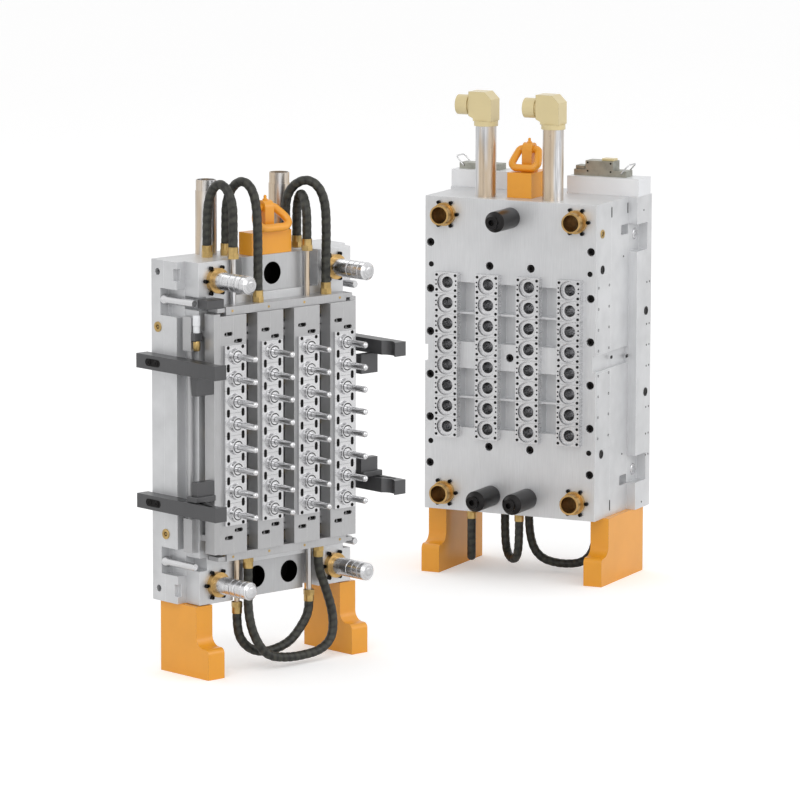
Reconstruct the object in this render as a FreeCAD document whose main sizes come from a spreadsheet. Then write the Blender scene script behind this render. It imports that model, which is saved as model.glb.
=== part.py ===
"""Preform mould: a 32-cavity injection mould for bottle preforms, its two halves standing apart.

The core half carries the cores, the stripper plate with its split neck rings and the cam bars that
spread them. The cavity half carries the cavity inserts and the hot runner behind them.
Lengths are in millimetres. Each half is drawn in its own frame: X to the right across the plates,
Y back through them from the parting plane at Y = 0, and Z up from the middle of the grid of cores.
The halves are then set down side by side, with the origin under the middle of the whole mould.
"""

import FreeCAD
import Part
import Sketcher
import math
import os
import re
from FreeCAD import Placement, Rotation, Vector

SIZES = [
    ("rows", 8, "cores in each column"),
    ("columns", 4, "columns of cores"),
    ("row_pitch", 50, "from one row to the next"),
    ("column_pitch", 107, "from one column to the next"),
    ("plate_half_height", 380, "half the height of the plates"),
    ("foot_height", 160, "from the floor to the plates"),
    ("half_offset_x", 1049, "from the core half to the cavity half, across"),
    ("half_offset_y", 419, "from the core half to the cavity half, back"),
    ("half_turn", 68, "turn of the cavity half about the vertical, clockwise from above"),
    # Plates of the core half, from the parting plane back.
    ("core_half_width", 247, "half the width of the core plate and its backing plate"),
    ("stripper_inset", 25, "side of the stripper plate, in from the core plate's side"),
    ("collar_height", 8, "collar of a neck ring, in front of its flange"),
    ("ring_thick", 7, "flange of a neck ring"),
    ("slide_thick", 32, "depth of the slide bars"),
    ("strip_thick", 13, "wear strips behind the slide bars"),
    ("stripper_thick", 45, "stripper plate"),
    ("core_plate_thick", 43, "core plate"),
    ("backing_thick", 42, "backing plate of the core half"),
    ("stripper_stroke", 60, "travel of the stripper plate"),
    ("slide_stroke", 12, "travel of each row of slide bars"),
    # Cores.
    ("core_radius", 7, "core, at the preform's inside"),
    ("core_length", 57.6, "core in front of the parting plane, up to its round tip"),
    ("stem_radius", 11.2, "stem of a core"),
    ("stem_gap", 0.8, "gap between a stem and the stripper plate"),
    ("core_head_radius", 17, "head of a core in the core plate"),
    ("core_head_thick", 18, "depth of the core's head"),
    ("core_bore_radius", 4, "water bore in a core"),
    ("core_tip_wall", 8, "metal left at the end of the water bore"),
    ("tube_radius", 2.5, "cooling tube in a core's bore"),
    ("tube_gap", 6, "from the end of the cooling tube to the end of the bore"),
    ("tube_seat", 14, "cooling tube held in the backing plate"),
    # Neck rings and slide bars.
    ("ring_width", 60, "width of a neck ring's flange"),
    ("ring_height", 49.5, "height of a neck ring's flange"),
    ("collar_radius", 18.5, "collar of a neck ring at its flange"),
    ("collar_top_radius", 16.5, "collar of a neck ring at its top"),
    ("neck_radius", 13.5, "bore of a neck ring"),
    ("shank_radius", 20, "shank of a neck ring in the slide bars"),
    ("shank_length", 25, "depth of that shank"),
    ("slide_width", 37.5, "width of one slide bar"),
    ("slide_half_height", 264, "half the length of the slide bars"),
    ("pocket_length", 24, "two-bolt pocket in a slide bar, long way"),
    ("pocket_width", 9, "two-bolt pocket in a slide bar, short way"),
    ("pocket_depth", 8, "two-bolt pocket in a slide bar"),
    ("pocket_offset", 14, "pocket from the middle of the column"),
    ("left_link_top", 224, "upper link bar of the left slides, above the middle"),
    ("left_link_bottom", 228, "lower link bar of the left slides, below the middle"),
    ("right_link_top", 207, "upper link bar of the right slides, above the middle"),
    ("right_link_bottom", 213, "lower link bar of the right slides, below the middle"),
    ("link_height", 13, "height of a link bar"),
    ("link_gap", 0.3, "gap between a link bar and the stripper plate"),
    ("tie_bar_width", 18, "width of a tie bar"),
    ("tie_bar_top", 270, "top of the left tie bar"),
    ("tie_bar_bottom", 262, "bottom of the tie bars"),
    ("right_tie_back", 20, "right tie bar set back behind the slides' front"),
    ("strip_height", 20, "height of a wear strip"),
    ("end_strip_offset", 16, "end wear strip, in from the slides' end"),
    # Guide rails and their pipework.
    ("rail_half_length", 175, "half the length of a guide rail"),
    ("rail_height", 18, "height of a guide rail"),
    ("rail_proud", 38, "depth of a guide rail in front of the stripper plate"),
    ("rail_gap", 0.3, "running gap between a rail and the slides"),
    ("stub_radius", 6, "stub tube from a rail up to a hose"),
    ("stub_back", 8, "stub tube, in front of the stripper plate"),
    ("stub_rise", 2.3, "end of a stub tube, past the end of the plates"),
    ("rail_port_back", 18, "rail port, in front of the stripper plate"),
    ("stub_top_left", 129, "upper left stub tube, from the middle"),
    ("stub_top_right", 86, "upper right stub tube, from the middle"),
    ("stub_low_left", 121, "lower left stub tube, from the middle"),
    ("stub_low_right", 91, "lower right stub tube, from the middle"),
    ("port_top_left", 66, "upper left rail port, from the middle"),
    ("port_top_right", 133, "upper right rail port, from the middle"),
    ("port_low_left", 97, "lower left rail port, from the middle"),
    ("port_low_right", 110, "lower right rail port, from the middle"),
    ("base_a", 141, "first hose on the core plate, left of the middle"),
    ("base_b", 87, "second hose on the core plate, left of the middle"),
    ("base_c", 88, "third hose on the core plate, right of the middle"),
    ("base_d", 121, "fourth hose on the core plate, right of the middle"),
    ("base_back", 21, "hoses on the core plate, behind its front face"),
    ("hex_radius", 13, "hexagon of a hose fitting, across its corners"),
    ("hex_height", 12, "height of that hexagon"),
    ("ferrule_radius", 11.5, "ferrule of a hose fitting"),
    ("ferrule_height", 14, "height of that ferrule"),
    ("fitting_bore_radius", 5, "bore of a hose fitting"),
    ("hose_radius", 10.5, "hoses"),
    # Guides.
    ("pin_x", 172, "leader pins, from the middle"),
    ("pin_inset", 42, "leader pins, in from the plates' top and bottom"),
    ("pin_radius", 20, "leader pin"),
    ("pin_reach", 58, "leader pin in front of the parting plane"),
    ("pin_chamfer", 6, "chamfer at a leader pin's tip"),
    ("pin_head_radius", 25, "head of a leader pin"),
    ("pin_head_thick", 10, "depth of that head"),
    ("groove_pitch", 18, "from one oil groove of a leader pin to the next"),
    ("groove_width", 3, "oil groove of a leader pin"),
    ("groove_depth", 1, "oil groove of a leader pin"),
    ("running_gap", 0.05, "running clearance round a leader pin or locating pin"),
    ("bush_radius", 24, "guide bushing"),
    ("bush_flange_radius", 28, "flange of a guide bushing"),
    ("bush_flange_thick", 12, "flange of a stripper bushing"),
    ("block_half_width", 88, "half the width of a centre block"),
    ("block_height", 80, "height of a centre block"),
    ("block_proud", 35, "centre block in front of the core plate"),
    ("twin_pin_x", 48, "lower locating pins, from the middle"),
    ("locating_radius", 25, "locating pin"),
    ("locating_reach", 110, "locating pin in front of the cavity plate"),
    ("locating_nose_radius", 15, "nose of a locating pin"),
    ("locating_nose", 20, "length of that nose"),
    ("locating_root_radius", 20, "locating pin in the cavity plate"),
    ("locating_root", 50, "depth of a locating pin in the cavity plate"),
    ("socket_radius", 7, "socket in the nose of a locating pin"),
    ("socket_depth", 12, "depth of that socket"),
    ("notch_half_width", 126, "half the width of the stripper plate's end notches"),
    ("side_notch_low", 105, "side notch of the stripper plate, inner end, in from the plate's end"),
    ("side_notch_high", 76, "side notch of the stripper plate, outer end, in from the plate's end"),
    ("side_notch_depth", 22, "depth of that side notch"),
    ("corner_notch_low", 43, "corner notch of the core plate, inner end, in from the plate's end"),
    ("corner_notch_high", 16, "corner notch of the core plate, outer end, in from the plate's end"),
    ("corner_notch_depth", 11, "depth of that corner notch"),
    ("clamp_low", 122, "clamp pocket, inner end, in from the plate's end"),
    ("clamp_high", 62, "clamp pocket, outer end, in from the plate's end"),
    ("clamp_depth", 24, "depth of a clamp pocket"),
    ("clamp_reach", 55, "clamp pocket, back from the core plate's front"),
    ("rear_hole_inset", 27, "jacking hole in the side, in from the plate's end"),
    ("rear_hole_radius", 8, "jacking hole in the side"),
    ("rear_hole_depth", 30, "depth of that hole"),
    ("rod_radius", 12, "push rod of the stripper plate"),
    ("rod_gap", 0.3, "gap round a push rod"),
    ("rod_rows", 2.5, "push rods above and below the middle, in rows of cores"),
    # Cam bars.
    ("cam_thick", 32, "thickness of a cam bar"),
    ("cam_height", 32, "height of a cam bar"),
    ("cam_z", 156, "cam bars, above and below the middle"),
    ("cam_front", 62, "cam bar in front of the parting plane"),
    ("cam_rear", 205, "cam bar behind the parting plane"),
    ("roller_radius", 5, "cam roller"),
    ("roller_out", 11, "cam roller at rest, out from the bar's inner face"),
    ("roller_y", 25, "cam roller at rest, behind the parting plane"),
    ("roller_depth", 8.5, "cam roller in the bar's groove"),
    ("groove_gap", 0.1, "clearance round a cam roller"),
    ("scallop_radius", 26, "scallop in a cam bar's inner face"),
    ("scallop_depth", 11, "depth of that scallop"),
    ("scallop_back", 24, "scallop behind the bar's front end"),
    ("follower_gap", 0.5, "gap between a follower bracket and its cam bar"),
    ("follower_height", 44, "height of a follower bracket"),
    ("follower_half_depth", 9, "half the depth of a follower bracket"),
    ("follower_cover", 7, "metal outside the roller in its bracket"),
    # Feet.
    ("foot_width", 47, "width of a foot"),
    ("foot_inset", 12, "outer side of a core-half foot, in from the plates' side"),
    ("foot_front", 57, "front of a core-half foot above its toe"),
    ("foot_rear", 178, "rear of a core-half foot"),
    ("foot_relief", 1.5, "gap between a foot and the moving stripper plate"),
    ("toe_length", 41, "toe of a foot"),
    ("toe_height", 68, "height of a toe"),
    ("toe_round", 12, "round edge of a toe"),
    ("foot_fillet", 24, "fillet between a foot and its toe"),
    ("hot_foot_inset", 9, "outer side of a cavity-half foot, in from the backing plate's side"),
    ("hot_port_front", 70, "front port of the left hose loop, in from a cavity-half foot"),
    ("hot_port_rear", 34, "rear port of the left hose loop, in from a cavity-half foot"),
    ("hot_port_right", 31, "right port of the wide hose loop, in from a cavity-half foot"),
    ("hot_foot_front", 63, "front of a cavity-half foot above its toe"),
    ("hot_foot_rear", 272, "rear of a cavity-half foot"),
    # Lifting gear.
    ("lift_half_width", 58, "half the width of the core half's lifting block"),
    ("lift_front", 72, "front of the core half's lifting block"),
    ("lift_rear", 115, "rear of the core half's lifting block"),
    ("lift_height", 50, "height of the core half's lifting block"),
    ("hub_y", 94, "core half's swivel, behind the parting plane"),
    ("hot_lift_half_width", 32, "half the width of the cavity half's lifting block"),
    ("hot_lift_front", 60, "front of the cavity half's lifting block"),
    ("hot_lift_rear", 160, "rear of the cavity half's lifting block"),
    ("hot_lift_height", 60, "height of the cavity half's lifting block"),
    ("hot_hub_y", 118, "cavity half's swivel, behind the parting plane"),
    ("hub_radius", 21, "round base of a swivel"),
    ("hub_base", 12, "height of that base"),
    ("shank_bore", 12, "shank of a swivel in its block"),
    ("shank_depth", 30, "length of that shank"),
    ("shank_gap", 0.1, "running clearance round that shank"),
    ("lug_width", 26, "width of a swivel's lug"),
    ("lug_radius", 16, "round top of a swivel's lug"),
    ("ring_pivot", 52, "lifting ring's hinge above its block"),
    ("ring_wire", 9, "radius of a lifting ring's bar"),
    ("ring_wire_gap", 0.3, "clearance of the lifting ring in its lug"),
    ("ring_half", 46, "half the width of the core half's lifting ring, at its bar's middle"),
    ("hot_ring_half", 34, "half the width of the cavity half's lifting ring"),
    ("ring_lean", 34, "how far a lifting ring hangs forward"),
    ("ring_rest_gap", 0.5, "gap between a lifting ring and the height of its block"),
    # Water pipes.
    ("core_pipe_x", 107, "water pipes of the core half, from the middle"),
    ("core_pipe_y", 169, "water pipes of the core half, behind the parting plane"),
    ("core_pipe_radius", 24, "water pipe of the core half"),
    ("core_pipe_height", 165, "height of those pipes"),
    ("thread_radius", 22.5, "threaded end of a core-half pipe"),
    ("thread_length", 24, "length of that end"),
    ("pipe_wall", 4, "wall of the water pipes"),
    ("pipe_channel", 60, "depth of the water channel below a pipe"),
    ("hot_pipe_x", 88, "water pipes of the cavity half, from the middle"),
    ("hot_pipe_y", 60, "water pipes of the cavity half, behind the parting plane"),
    ("hot_pipe_radius", 25, "water pipe of the cavity half"),
    ("hot_pipe_height", 170, "height of those pipes"),
    ("elbow_half", 24, "half the width of a pipe elbow"),
    ("elbow_collar_radius", 29, "collar of a pipe elbow"),
    ("elbow_collar", 12, "height of that collar"),
    ("elbow_height", 82, "height of a pipe elbow"),
    ("elbow_outlet_z", 48, "outlet of a pipe elbow, above its foot"),
    ("elbow_outlet_radius", 24, "outlet of a pipe elbow"),
    ("elbow_outlet_reach", 72, "end of the outlet, from the pipe's middle"),
    ("elbow_body_reach", 36, "body of the elbow, from the pipe's middle"),
    ("elbow_neck_radius", 20, "groove before the outlet"),
    ("elbow_neck", 6, "width of that groove"),
    ("elbow_bore", 17, "bore of a pipe elbow"),
    ("elbow_bevel", 18, "bevel at the elbow's back"),
    ("elbow_chin", 6, "slope under the elbow's outlet"),
    # Side manifolds of the stripper plate.
    ("side_block_gap", 8, "gap between a side manifold and the cam bars"),
    ("side_block_y", 66, "front of a side manifold"),
    ("side_block_depth", 28, "depth of a side manifold"),
    ("side_block_low", 186, "upper side manifold, inner end"),
    ("side_block_high", 262, "upper side manifold, outer end"),
    ("side_tube_radius", 6, "tube between the side manifolds"),
    # Plates of the cavity half.
    ("hot_half_width", 224, "half the width of the cavity plate and manifold plate"),
    ("insert_proud", 9, "cavity insert in front of the parting plane"),
    ("insert_thick", 19, "flange of a cavity insert"),
    ("cavity_plate_thick", 90, "cavity plate"),
    ("manifold_thick", 102, "manifold plate"),
    ("hot_back_thick", 86, "backing plate of the cavity half"),
    ("insert_radius", 22, "round body of a cavity insert"),
    ("insert_length", 74, "length of that body"),
    ("seat_radius", 23, "conical seat of a cavity insert at its mouth"),
    ("seat_floor_radius", 20, "conical seat of a cavity insert at its floor"),
    ("mouth_radius", 14, "cavity at its mouth"),
    ("tip_radius", 10, "cavity at its round end"),
    ("gate_radius", 1.5, "gate at the end of a cavity"),
    ("recess_half_width", 23.5, "half the width of a recess between the columns"),
    ("recess_inner", 32, "recess, inner end"),
    ("recess_outer", 176, "recess, outer end"),
    ("recess_depth", 30, "depth of a recess"),
    ("recess_web", 5, "web across a recess"),
    ("recess_web_z", 102, "that web, above and below the middle"),
    ("hot_bush_reach", 25, "cavity bushing in front of the parting plane"),
    ("hot_bush_root", 60, "cavity bushing in its plate"),
    ("screw_radius", 10, "counterbore of a plate screw"),
    ("screw_depth", 12, "depth of that counterbore"),
    ("screw_inset", 14, "plate screws near the side, in from it"),
    ("screw_low", 52, "first plate screws above and below the middle"),
    ("screw_mid", 156, "second plate screws above and below the middle"),
    ("screw_high", 268, "third plate screws above and below the middle"),
    ("inner_screw_x", 54, "inner plate screws, from the middle"),
    ("inner_screw_z", 219, "inner plate screws, above and below the middle"),
    ("cable_slot_half", 20, "half the height of the cable slot in the side"),
    ("cable_slot_depth", 8, "depth of the cable slot"),
    ("hot_clamp_low", 132, "clamp pocket of the cavity half, inner end, in from the plate's end"),
    ("hot_clamp_high", 66, "clamp pocket of the cavity half, outer end, in from the plate's end"),
    ("hot_clamp_width", 62, "front to back size of that pocket"),
    ("hot_notch_low", 88, "notch in the manifold plate's side, inner end from the plate's end"),
    ("hot_notch_high", 64, "that notch, outer end from the plate's end"),
    ("hot_notch_reach", 45, "that notch, forward from the backing plate"),
    ("hot_notch_depth", 18, "depth of that notch"),
    # Hot runner.
    ("runner_half_width", 185, "half the width of the hot-runner manifold"),
    ("runner_half_height", 205, "half the height of the hot-runner manifold"),
    ("runner_front", 25, "front of the manifold, behind its plate's front"),
    ("runner_thick", 55, "manifold"),
    ("runner_gap", 10, "air gap round the manifold"),
    ("nozzle_radius", 11, "hot nozzle"),
    ("nozzle_gap", 1, "air gap round a nozzle"),
    ("pad_radius", 15, "support pad behind the manifold"),
    ("pad_x", 120, "support pads, from the middle"),
    ("pad_z", 150, "support pads, above and below the middle"),
    ("sprue_radius", 20, "sprue bushing"),
    ("locating_ring_radius", 60, "locating ring at the back"),
    ("locating_ring_thick", 12, "thickness of the locating ring"),
    # Electrical boxes and connectors.
    ("box_front", 4, "junction box, behind its plate's front"),
    ("box_depth", 74, "depth of a junction box"),
    ("box_height", 42, "height of a junction box"),
    ("box_wall", 3, "wall of a junction box"),
    ("left_box_inner", 90, "left junction box, inner end"),
    ("right_box_inner", 60, "right junction box, inner end"),
    ("connector_front", 18, "connector, behind its box's front"),
    ("connector_depth", 40, "depth of a connector"),
    ("connector_height", 15, "height of a connector's housing"),
    ("left_connector_inner", 128, "left connector, inner end"),
    ("left_connector_inset", 13, "left connector, in from its box's outer end"),
    ("right_connector_inner", 70, "right connector, inner end"),
    ("right_connector_inset", 41, "right connector, in from its box's outer end"),
    ("hood_inner", 100, "hood of the right connector, inner end"),
    ("hood_outer", 172, "hood of the right connector, outer end"),
    ("hood_height", 22, "height of that hood"),
    ("latch_wire", 1.8, "radius of a latch's wire"),
    ("latch_wire_gap", 0.3, "clearance of a latch in its housing"),
    ("latch_in", 12, "latch hinge, in from the connector's end"),
    ("latch_rise", 9, "latch hinge, above the box"),
    ("latch_reach", 20, "latch bow, out from its hinge"),
    ("latch_height", 22, "latch bow, above its hinge"),
    ("latch_side_gap", 1.5, "gap between a latch and its housing"),
]
VALUES = {alias: value for alias, value, note in SIZES}

doc = FreeCAD.newDocument("preform_mould")
sheet = doc.addObject("Spreadsheet::Sheet", "sizes")
for line, (alias, value, note) in enumerate(SIZES, start=1):
    sheet.set(f"A{line}", note)
    sheet.set(f"B{line}", str(value))
    sheet.setAlias(f"B{line}", alias)
doc.recompute()

# Depths of the faces, written with the names of the sizes.
RING_Y = "collar_height"
SLIDE_Y = "(collar_height + ring_thick)"
STRIP_Y = f"({SLIDE_Y} + slide_thick)"
STRIPPER_Y = f"({STRIP_Y} + strip_thick)"
CORE_Y = f"({STRIPPER_Y} + stripper_thick)"
BACKING_Y = f"({CORE_Y} + core_plate_thick)"
REAR_Y = f"({BACKING_Y} + backing_thick)"
CAVITY_Y = "(insert_thick - insert_proud)"
MANIFOLD_Y = f"({CAVITY_Y} + cavity_plate_thick)"
HOT_BACK_Y = f"({MANIFOLD_Y} + manifold_thick)"
HOT_REAR_Y = f"({HOT_BACK_Y} + hot_back_thick)"
INSERT_END_Y = f"({CAVITY_Y} + insert_length)"
RUNNER_Y = f"({MANIFOLD_Y} + runner_front)"
PLATE = "plate_half_height"
PIN_Z = f"({PLATE} - pin_inset)"
BLOCK_INNER = f"({PLATE} - block_height)"
STRIPPER_X = "(core_half_width - stripper_inset)"
SIDE_BLOCK_X = "(core_half_width - side_block_gap)"
SIDES = (-1, 1)

ROWS = int(sheet.get("rows"))
COLUMNS = int(sheet.get("columns"))
ROW_Z = [f"{row - (ROWS - 1) / 2} * row_pitch" for row in range(ROWS)]
COLUMN_X = [f"{column - (COLUMNS - 1) / 2} * column_pitch" for column in range(COLUMNS)]
GRID = [(x, "0", z) for x in COLUMN_X for z in ROW_Z]
CORNERS = [(f"{a} * pin_x", "0", f"{b} * {PIN_Z}") for a in SIDES for b in SIDES]

TURNS = {
    "x": Rotation(Vector(0, 1, 0), 90),
    "y": Rotation(Vector(1, 0, 0), -90),
    "z": Rotation(),
}
NODES = []


def ex(text):
    """The expression for a text that names sizes."""
    return re.sub(r"[a-z][a-z0-9_]*", lambda found: "sizes." + found.group()
                  if found.group() in VALUES else found.group(), str(text))


def size(alias):
    """The number in the sheet's cell of that name."""
    return float(sheet.get(alias))


def bind(thing, **texts):
    """Tie properties of a piece to the sheet."""
    for name, text in texts.items():
        thing.setExpression(name, ex(text))
    return thing


def place(thing, x, y, z):
    """Tie the place of a piece to the sheet."""
    for axis, text in zip("xyz", (x, y, z)):
        thing.setExpression("Placement.Base." + axis, ex(text))
    return thing


def box(x, y, z):
    """A block between two faces each way, each pair given from low to high."""
    block = doc.addObject("Part::Box", "block")
    bind(block, Length=f"({x[1]}) - ({x[0]})", Width=f"({y[1]}) - ({y[0]})", Height=f"({z[1]}) - ({z[0]})")
    return place(block, x[0], y[0], z[0])


def both(reach):
    """The span from minus a size to plus that size."""
    return f"-({reach})", f"{reach}"


def mid(place_text, half):
    """The span of a size to each side of a place."""
    return f"{place_text} - ({half})", f"{place_text} + ({half})"


def span(side, near, far):
    """The span from near to far on one side of the middle."""
    return (near, far) if side > 0 else (f"-({far})", f"-({near})")


def rod(axis, x, y, z, radius, length, end_radius=None):
    """A round bar, or a cone where its end has another radius, from a point along an axis."""
    if end_radius is None:
        bar = doc.addObject("Part::Cylinder", "rod")
        bind(bar, Radius=radius, Height=length)
    else:
        bar = doc.addObject("Part::Cone", "cone")
        bind(bar, Radius1=radius, Radius2=end_radius, Height=length)
    bar.Placement = Placement(Vector(), TURNS[axis])
    return place(bar, x, y, z)


def ball(x, y, z, radius):
    """A ball about a point."""
    sphere = doc.addObject("Part::Sphere", "ball")
    bind(sphere, Radius=radius)
    return place(sphere, x, y, z)


def group(pieces):
    """Separate solids held together as one object."""
    held = doc.addObject("Part::Compound", "group")
    held.Links = pieces
    return held


def fuse(*pieces):
    """One solid from pieces that touch."""
    joined = doc.addObject("Part::MultiFuse", "fused")
    joined.Shapes = list(pieces)
    joined.Refine = True
    return joined


def cut(base, *tools):
    """A solid less its tools."""
    left = doc.addObject("Part::Cut", "cut")
    left.Base = base
    left.Tool = tools[0] if len(tools) == 1 else group(list(tools))
    return left


def common(base, tool):
    """What two solids share."""
    shared = doc.addObject("Part::Common", "common")
    shared.Base = base
    shared.Tool = tool
    return shared


def copies(master, places):
    """The same piece at several places."""
    made = []
    for x, y, z in places:
        link = doc.addObject("App::Link", "copy")
        link.LinkedObject = master
        link.LinkTransform = True
        made.append(place(link, x, y, z))
    return made


def node(label, half, thing):
    """Name a finished sub-part, and say which half it belongs to."""
    thing.Label = label
    NODES.append((label, half, thing))
    return thing


def origin_plane(body, role):
    """A body's own origin plane."""
    return next(plane for plane in body.Origin.OriginFeatures if plane.Role == role)


def outline_body(role, corners):
    """A body with a closed sketch whose corners are tied to the sheet."""
    body = doc.addObject("PartDesign::Body", "body")
    sketch = body.newObject("Sketcher::SketchObject", "outline")
    sketch.AttachmentSupport = [(origin_plane(body, role), "")]
    sketch.MapMode = "FlatFace"
    points = [Vector(number(a), number(b), 0) for a, b in corners]
    count = len(points)
    for index, point in enumerate(points):
        sketch.addGeometry(Part.LineSegment(point, points[(index + 1) % count]), False)
    for index in range(count):
        sketch.addConstraint(Sketcher.Constraint("Coincident", index, 2, (index + 1) % count, 1))
    for index, (across, along) in enumerate(corners):
        axes = (("DistanceX", across, points[index].x), ("DistanceY", along, points[index].y))
        for kind, text, start in axes:
            mark = sketch.addConstraint(Sketcher.Constraint(kind, -1, 1, index, 1, start))
            sketch.setExpression(f"Constraints[{mark}]", ex(text))
    return body, sketch


def number(text):
    """The value of a text that names sizes, worked out by the sheet's own arithmetic."""
    probe.setExpression("Length", ex(f"({text}) + {PROBE_BASE}"))
    probe.recompute()
    return probe.Length.Value - PROBE_BASE


def turned(corners):
    """A solid of revolution about the depth axis, from corners given as depth and radius."""
    body, sketch = outline_body("YZ_Plane", corners)
    spin = body.newObject("PartDesign::Revolution", "spin")
    spin.Profile = sketch
    spin.ReferenceAxis = (sketch, ["H_Axis"])
    spin.Angle = 360
    sketch.Visibility = False
    return body


PROBE_BASE = 100000
probe = doc.addObject("Part::Box", "probe")


def corner_route(points, closed=False, shares=None):
    """Straight runs joined by tangent arcs, each taking up a share of the shorter of its two runs."""
    count = len(points)
    shares = shares or [0.45] * count
    edges = []
    radii = []
    turns = range(count) if closed else range(1, count - 1)
    arcs = {}
    for index in turns:
        here = points[index]
        back = points[index - 1] - here
        ahead = points[(index + 1) % count] - here
        reach = shares[index] * min(back.Length, ahead.Length)
        turn = math.pi - back.getAngle(ahead)
        radii.append(reach / math.tan(turn / 2))
        first = here + back.normalize() * reach
        last = here + ahead.normalize() * reach
        inward = (first + last) * 0.5 - here
        apex = here + inward.normalize() * (radii[-1] / math.cos(turn / 2) - radii[-1])
        arcs[index] = (first, apex, last)
    for index in range(count if closed else count - 1):
        start = arcs[index][2] if index in arcs else points[index]
        after = (index + 1) % count
        end = arcs[after][0] if after in arcs else points[after]
        edges.append(Part.LineSegment(start, end).toShape())
        if after in arcs:
            edges.append(Part.Arc(*arcs[after]).toShape())
    return Part.Wire(edges), radii


def tube(points, radius, closed=False, shares=None):
    """A round bar along a route, with its length and its smallest bend."""
    wire, radii = corner_route(points, closed, shares)
    first = wire.Edges[0]
    start = first.valueAt(first.FirstParameter)
    profile = Part.Wire([Part.Circle(start, first.tangentAt(first.FirstParameter), radius).toShape()])
    made = doc.addObject("Part::Feature", "tube")
    made.Shape = wire.makePipeShell([profile], True, False)
    expected = math.pi * radius ** 2 * wire.Length
    print(f"tube: length {wire.Length:.1f}, smallest bend {min(radii):.1f}, "
          f"volume {made.Shape.Volume / expected:.4f} of its section times its length")
    return made


def hose(label, half, points):
    """One flexible hose."""
    node(label, half, tube([Vector(*point) for point in points], size("hose_radius")))


# Core half: the plates.
def clamp_pockets(half_width, front, depth_y, low, high):
    """Pockets for the clamps in both sides of a plate."""
    return [box(span(side, f"{half_width} - clamp_depth", f"{half_width} + 1"),
                (front, f"{front} + {depth_y}"), span(level, f"{PLATE} - {low}", f"{PLATE} - {high}"))
            for side in SIDES for level in SIDES]


def grid_holes(y, radius, length, end_radius=None):
    """A hole behind each core or cavity."""
    return copies(rod("y", "0", y, "0", radius, length, end_radius), GRID)


def core_backing_plate():
    plate = box(both("core_half_width"), (BACKING_Y, REAR_Y), both(PLATE))
    tools = clamp_pockets("core_half_width", CORE_Y, "clamp_reach", "clamp_low", "clamp_high")
    tools += grid_holes(BACKING_Y, "tube_radius", "tube_seat")
    for side in SIDES:
        x = f"{side} * core_pipe_x"
        tools.append(rod("z", x, "core_pipe_y", f"{PLATE} - pipe_channel",
                         "core_pipe_radius - pipe_wall", "pipe_channel + 1"))
        for level in SIDES:
            tools.append(rod("y", f"{side} * column_pitch", BACKING_Y, f"{level} * rod_rows * row_pitch",
                             "rod_radius + rod_gap", "backing_thick + 1"))
            left = "-core_half_width - 1" if side < 0 else "core_half_width - rear_hole_depth"
            tools.append(rod("x", left, "core_pipe_y", f"{level} * ({PLATE} - rear_hole_inset)",
                             "rear_hole_radius", "rear_hole_depth + 1"))
    node("core_backing_plate", "core", cut(plate, *tools))


def core_plate():
    plate = box(both("core_half_width"), (CORE_Y, BACKING_Y), both(PLATE))
    tools = clamp_pockets("core_half_width", CORE_Y, "clamp_reach", "clamp_low", "clamp_high")
    tools += grid_holes(CORE_Y, "stem_radius", "core_plate_thick")
    tools += grid_holes(f"{BACKING_Y} - core_head_thick", "core_head_radius", "core_head_thick")
    tools += copies(rod("y", "0", CORE_Y, "0", "pin_radius", "core_plate_thick"), CORNERS)
    tools += copies(rod("y", "0", f"{BACKING_Y} - pin_head_thick", "0", "pin_head_radius",
                        "pin_head_thick"), CORNERS)
    for side in SIDES:
        for level in SIDES:
            tools.append(box(span(side, "core_half_width - corner_notch_depth", "core_half_width + 1"),
                             (CORE_Y, f"{CORE_Y} + corner_notch_depth"),
                             span(level, f"{PLATE} - corner_notch_low", f"{PLATE} - corner_notch_high")))
            tools.append(rod("y", f"{side} * column_pitch", CORE_Y, f"{level} * rod_rows * row_pitch",
                             "rod_radius + rod_gap", "core_plate_thick"))
    tools.append(rod("z", "0", "hub_y", PLATE, "shank_bore", "1"))
    node("core_plate", "core", cut(plate, *tools))


def centre_blocks():
    upper = box(both("block_half_width"), (f"{CORE_Y} - block_proud", CORE_Y), (BLOCK_INNER, PLATE))
    lower = box(both("block_half_width"), (f"{CORE_Y} - block_proud", CORE_Y),
                (f"-{PLATE}", f"-{BLOCK_INNER}"))
    hole = rod("y", "0", f"{CORE_Y} - block_proud", "0", "locating_radius + running_gap", "block_proud")
    node("centre_blocks", "core", group([
        cut(upper, *copies(hole, [("0", "0", PIN_Z)])),
        cut(lower, *copies(hole, [(f"{side} * twin_pin_x", "0", f"-{PIN_Z}") for side in SIDES])),
    ]))


def leader_pins():
    corners = [(BACKING_Y, "0"), (BACKING_Y, "pin_head_radius"),
               (f"{BACKING_Y} - pin_head_thick", "pin_head_radius"),
               (f"{BACKING_Y} - pin_head_thick", "pin_radius")]
    for turn in range(3):
        middle = f"(-{turn} * groove_pitch - groove_width)"
        for offset, radius in (("+ groove_width / 2", "pin_radius"),
                               ("+ groove_width / 2", "pin_radius - groove_depth"),
                               ("- groove_width / 2", "pin_radius - groove_depth"),
                               ("- groove_width / 2", "pin_radius")):
            corners.append((f"{middle} {offset}", radius))
    corners += [("pin_chamfer - pin_reach", "pin_radius"), ("-pin_reach", "pin_radius - pin_chamfer"),
                ("-pin_reach", "0")]
    node("leader_pins", "core", group(copies(turned(corners), CORNERS)))


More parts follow.
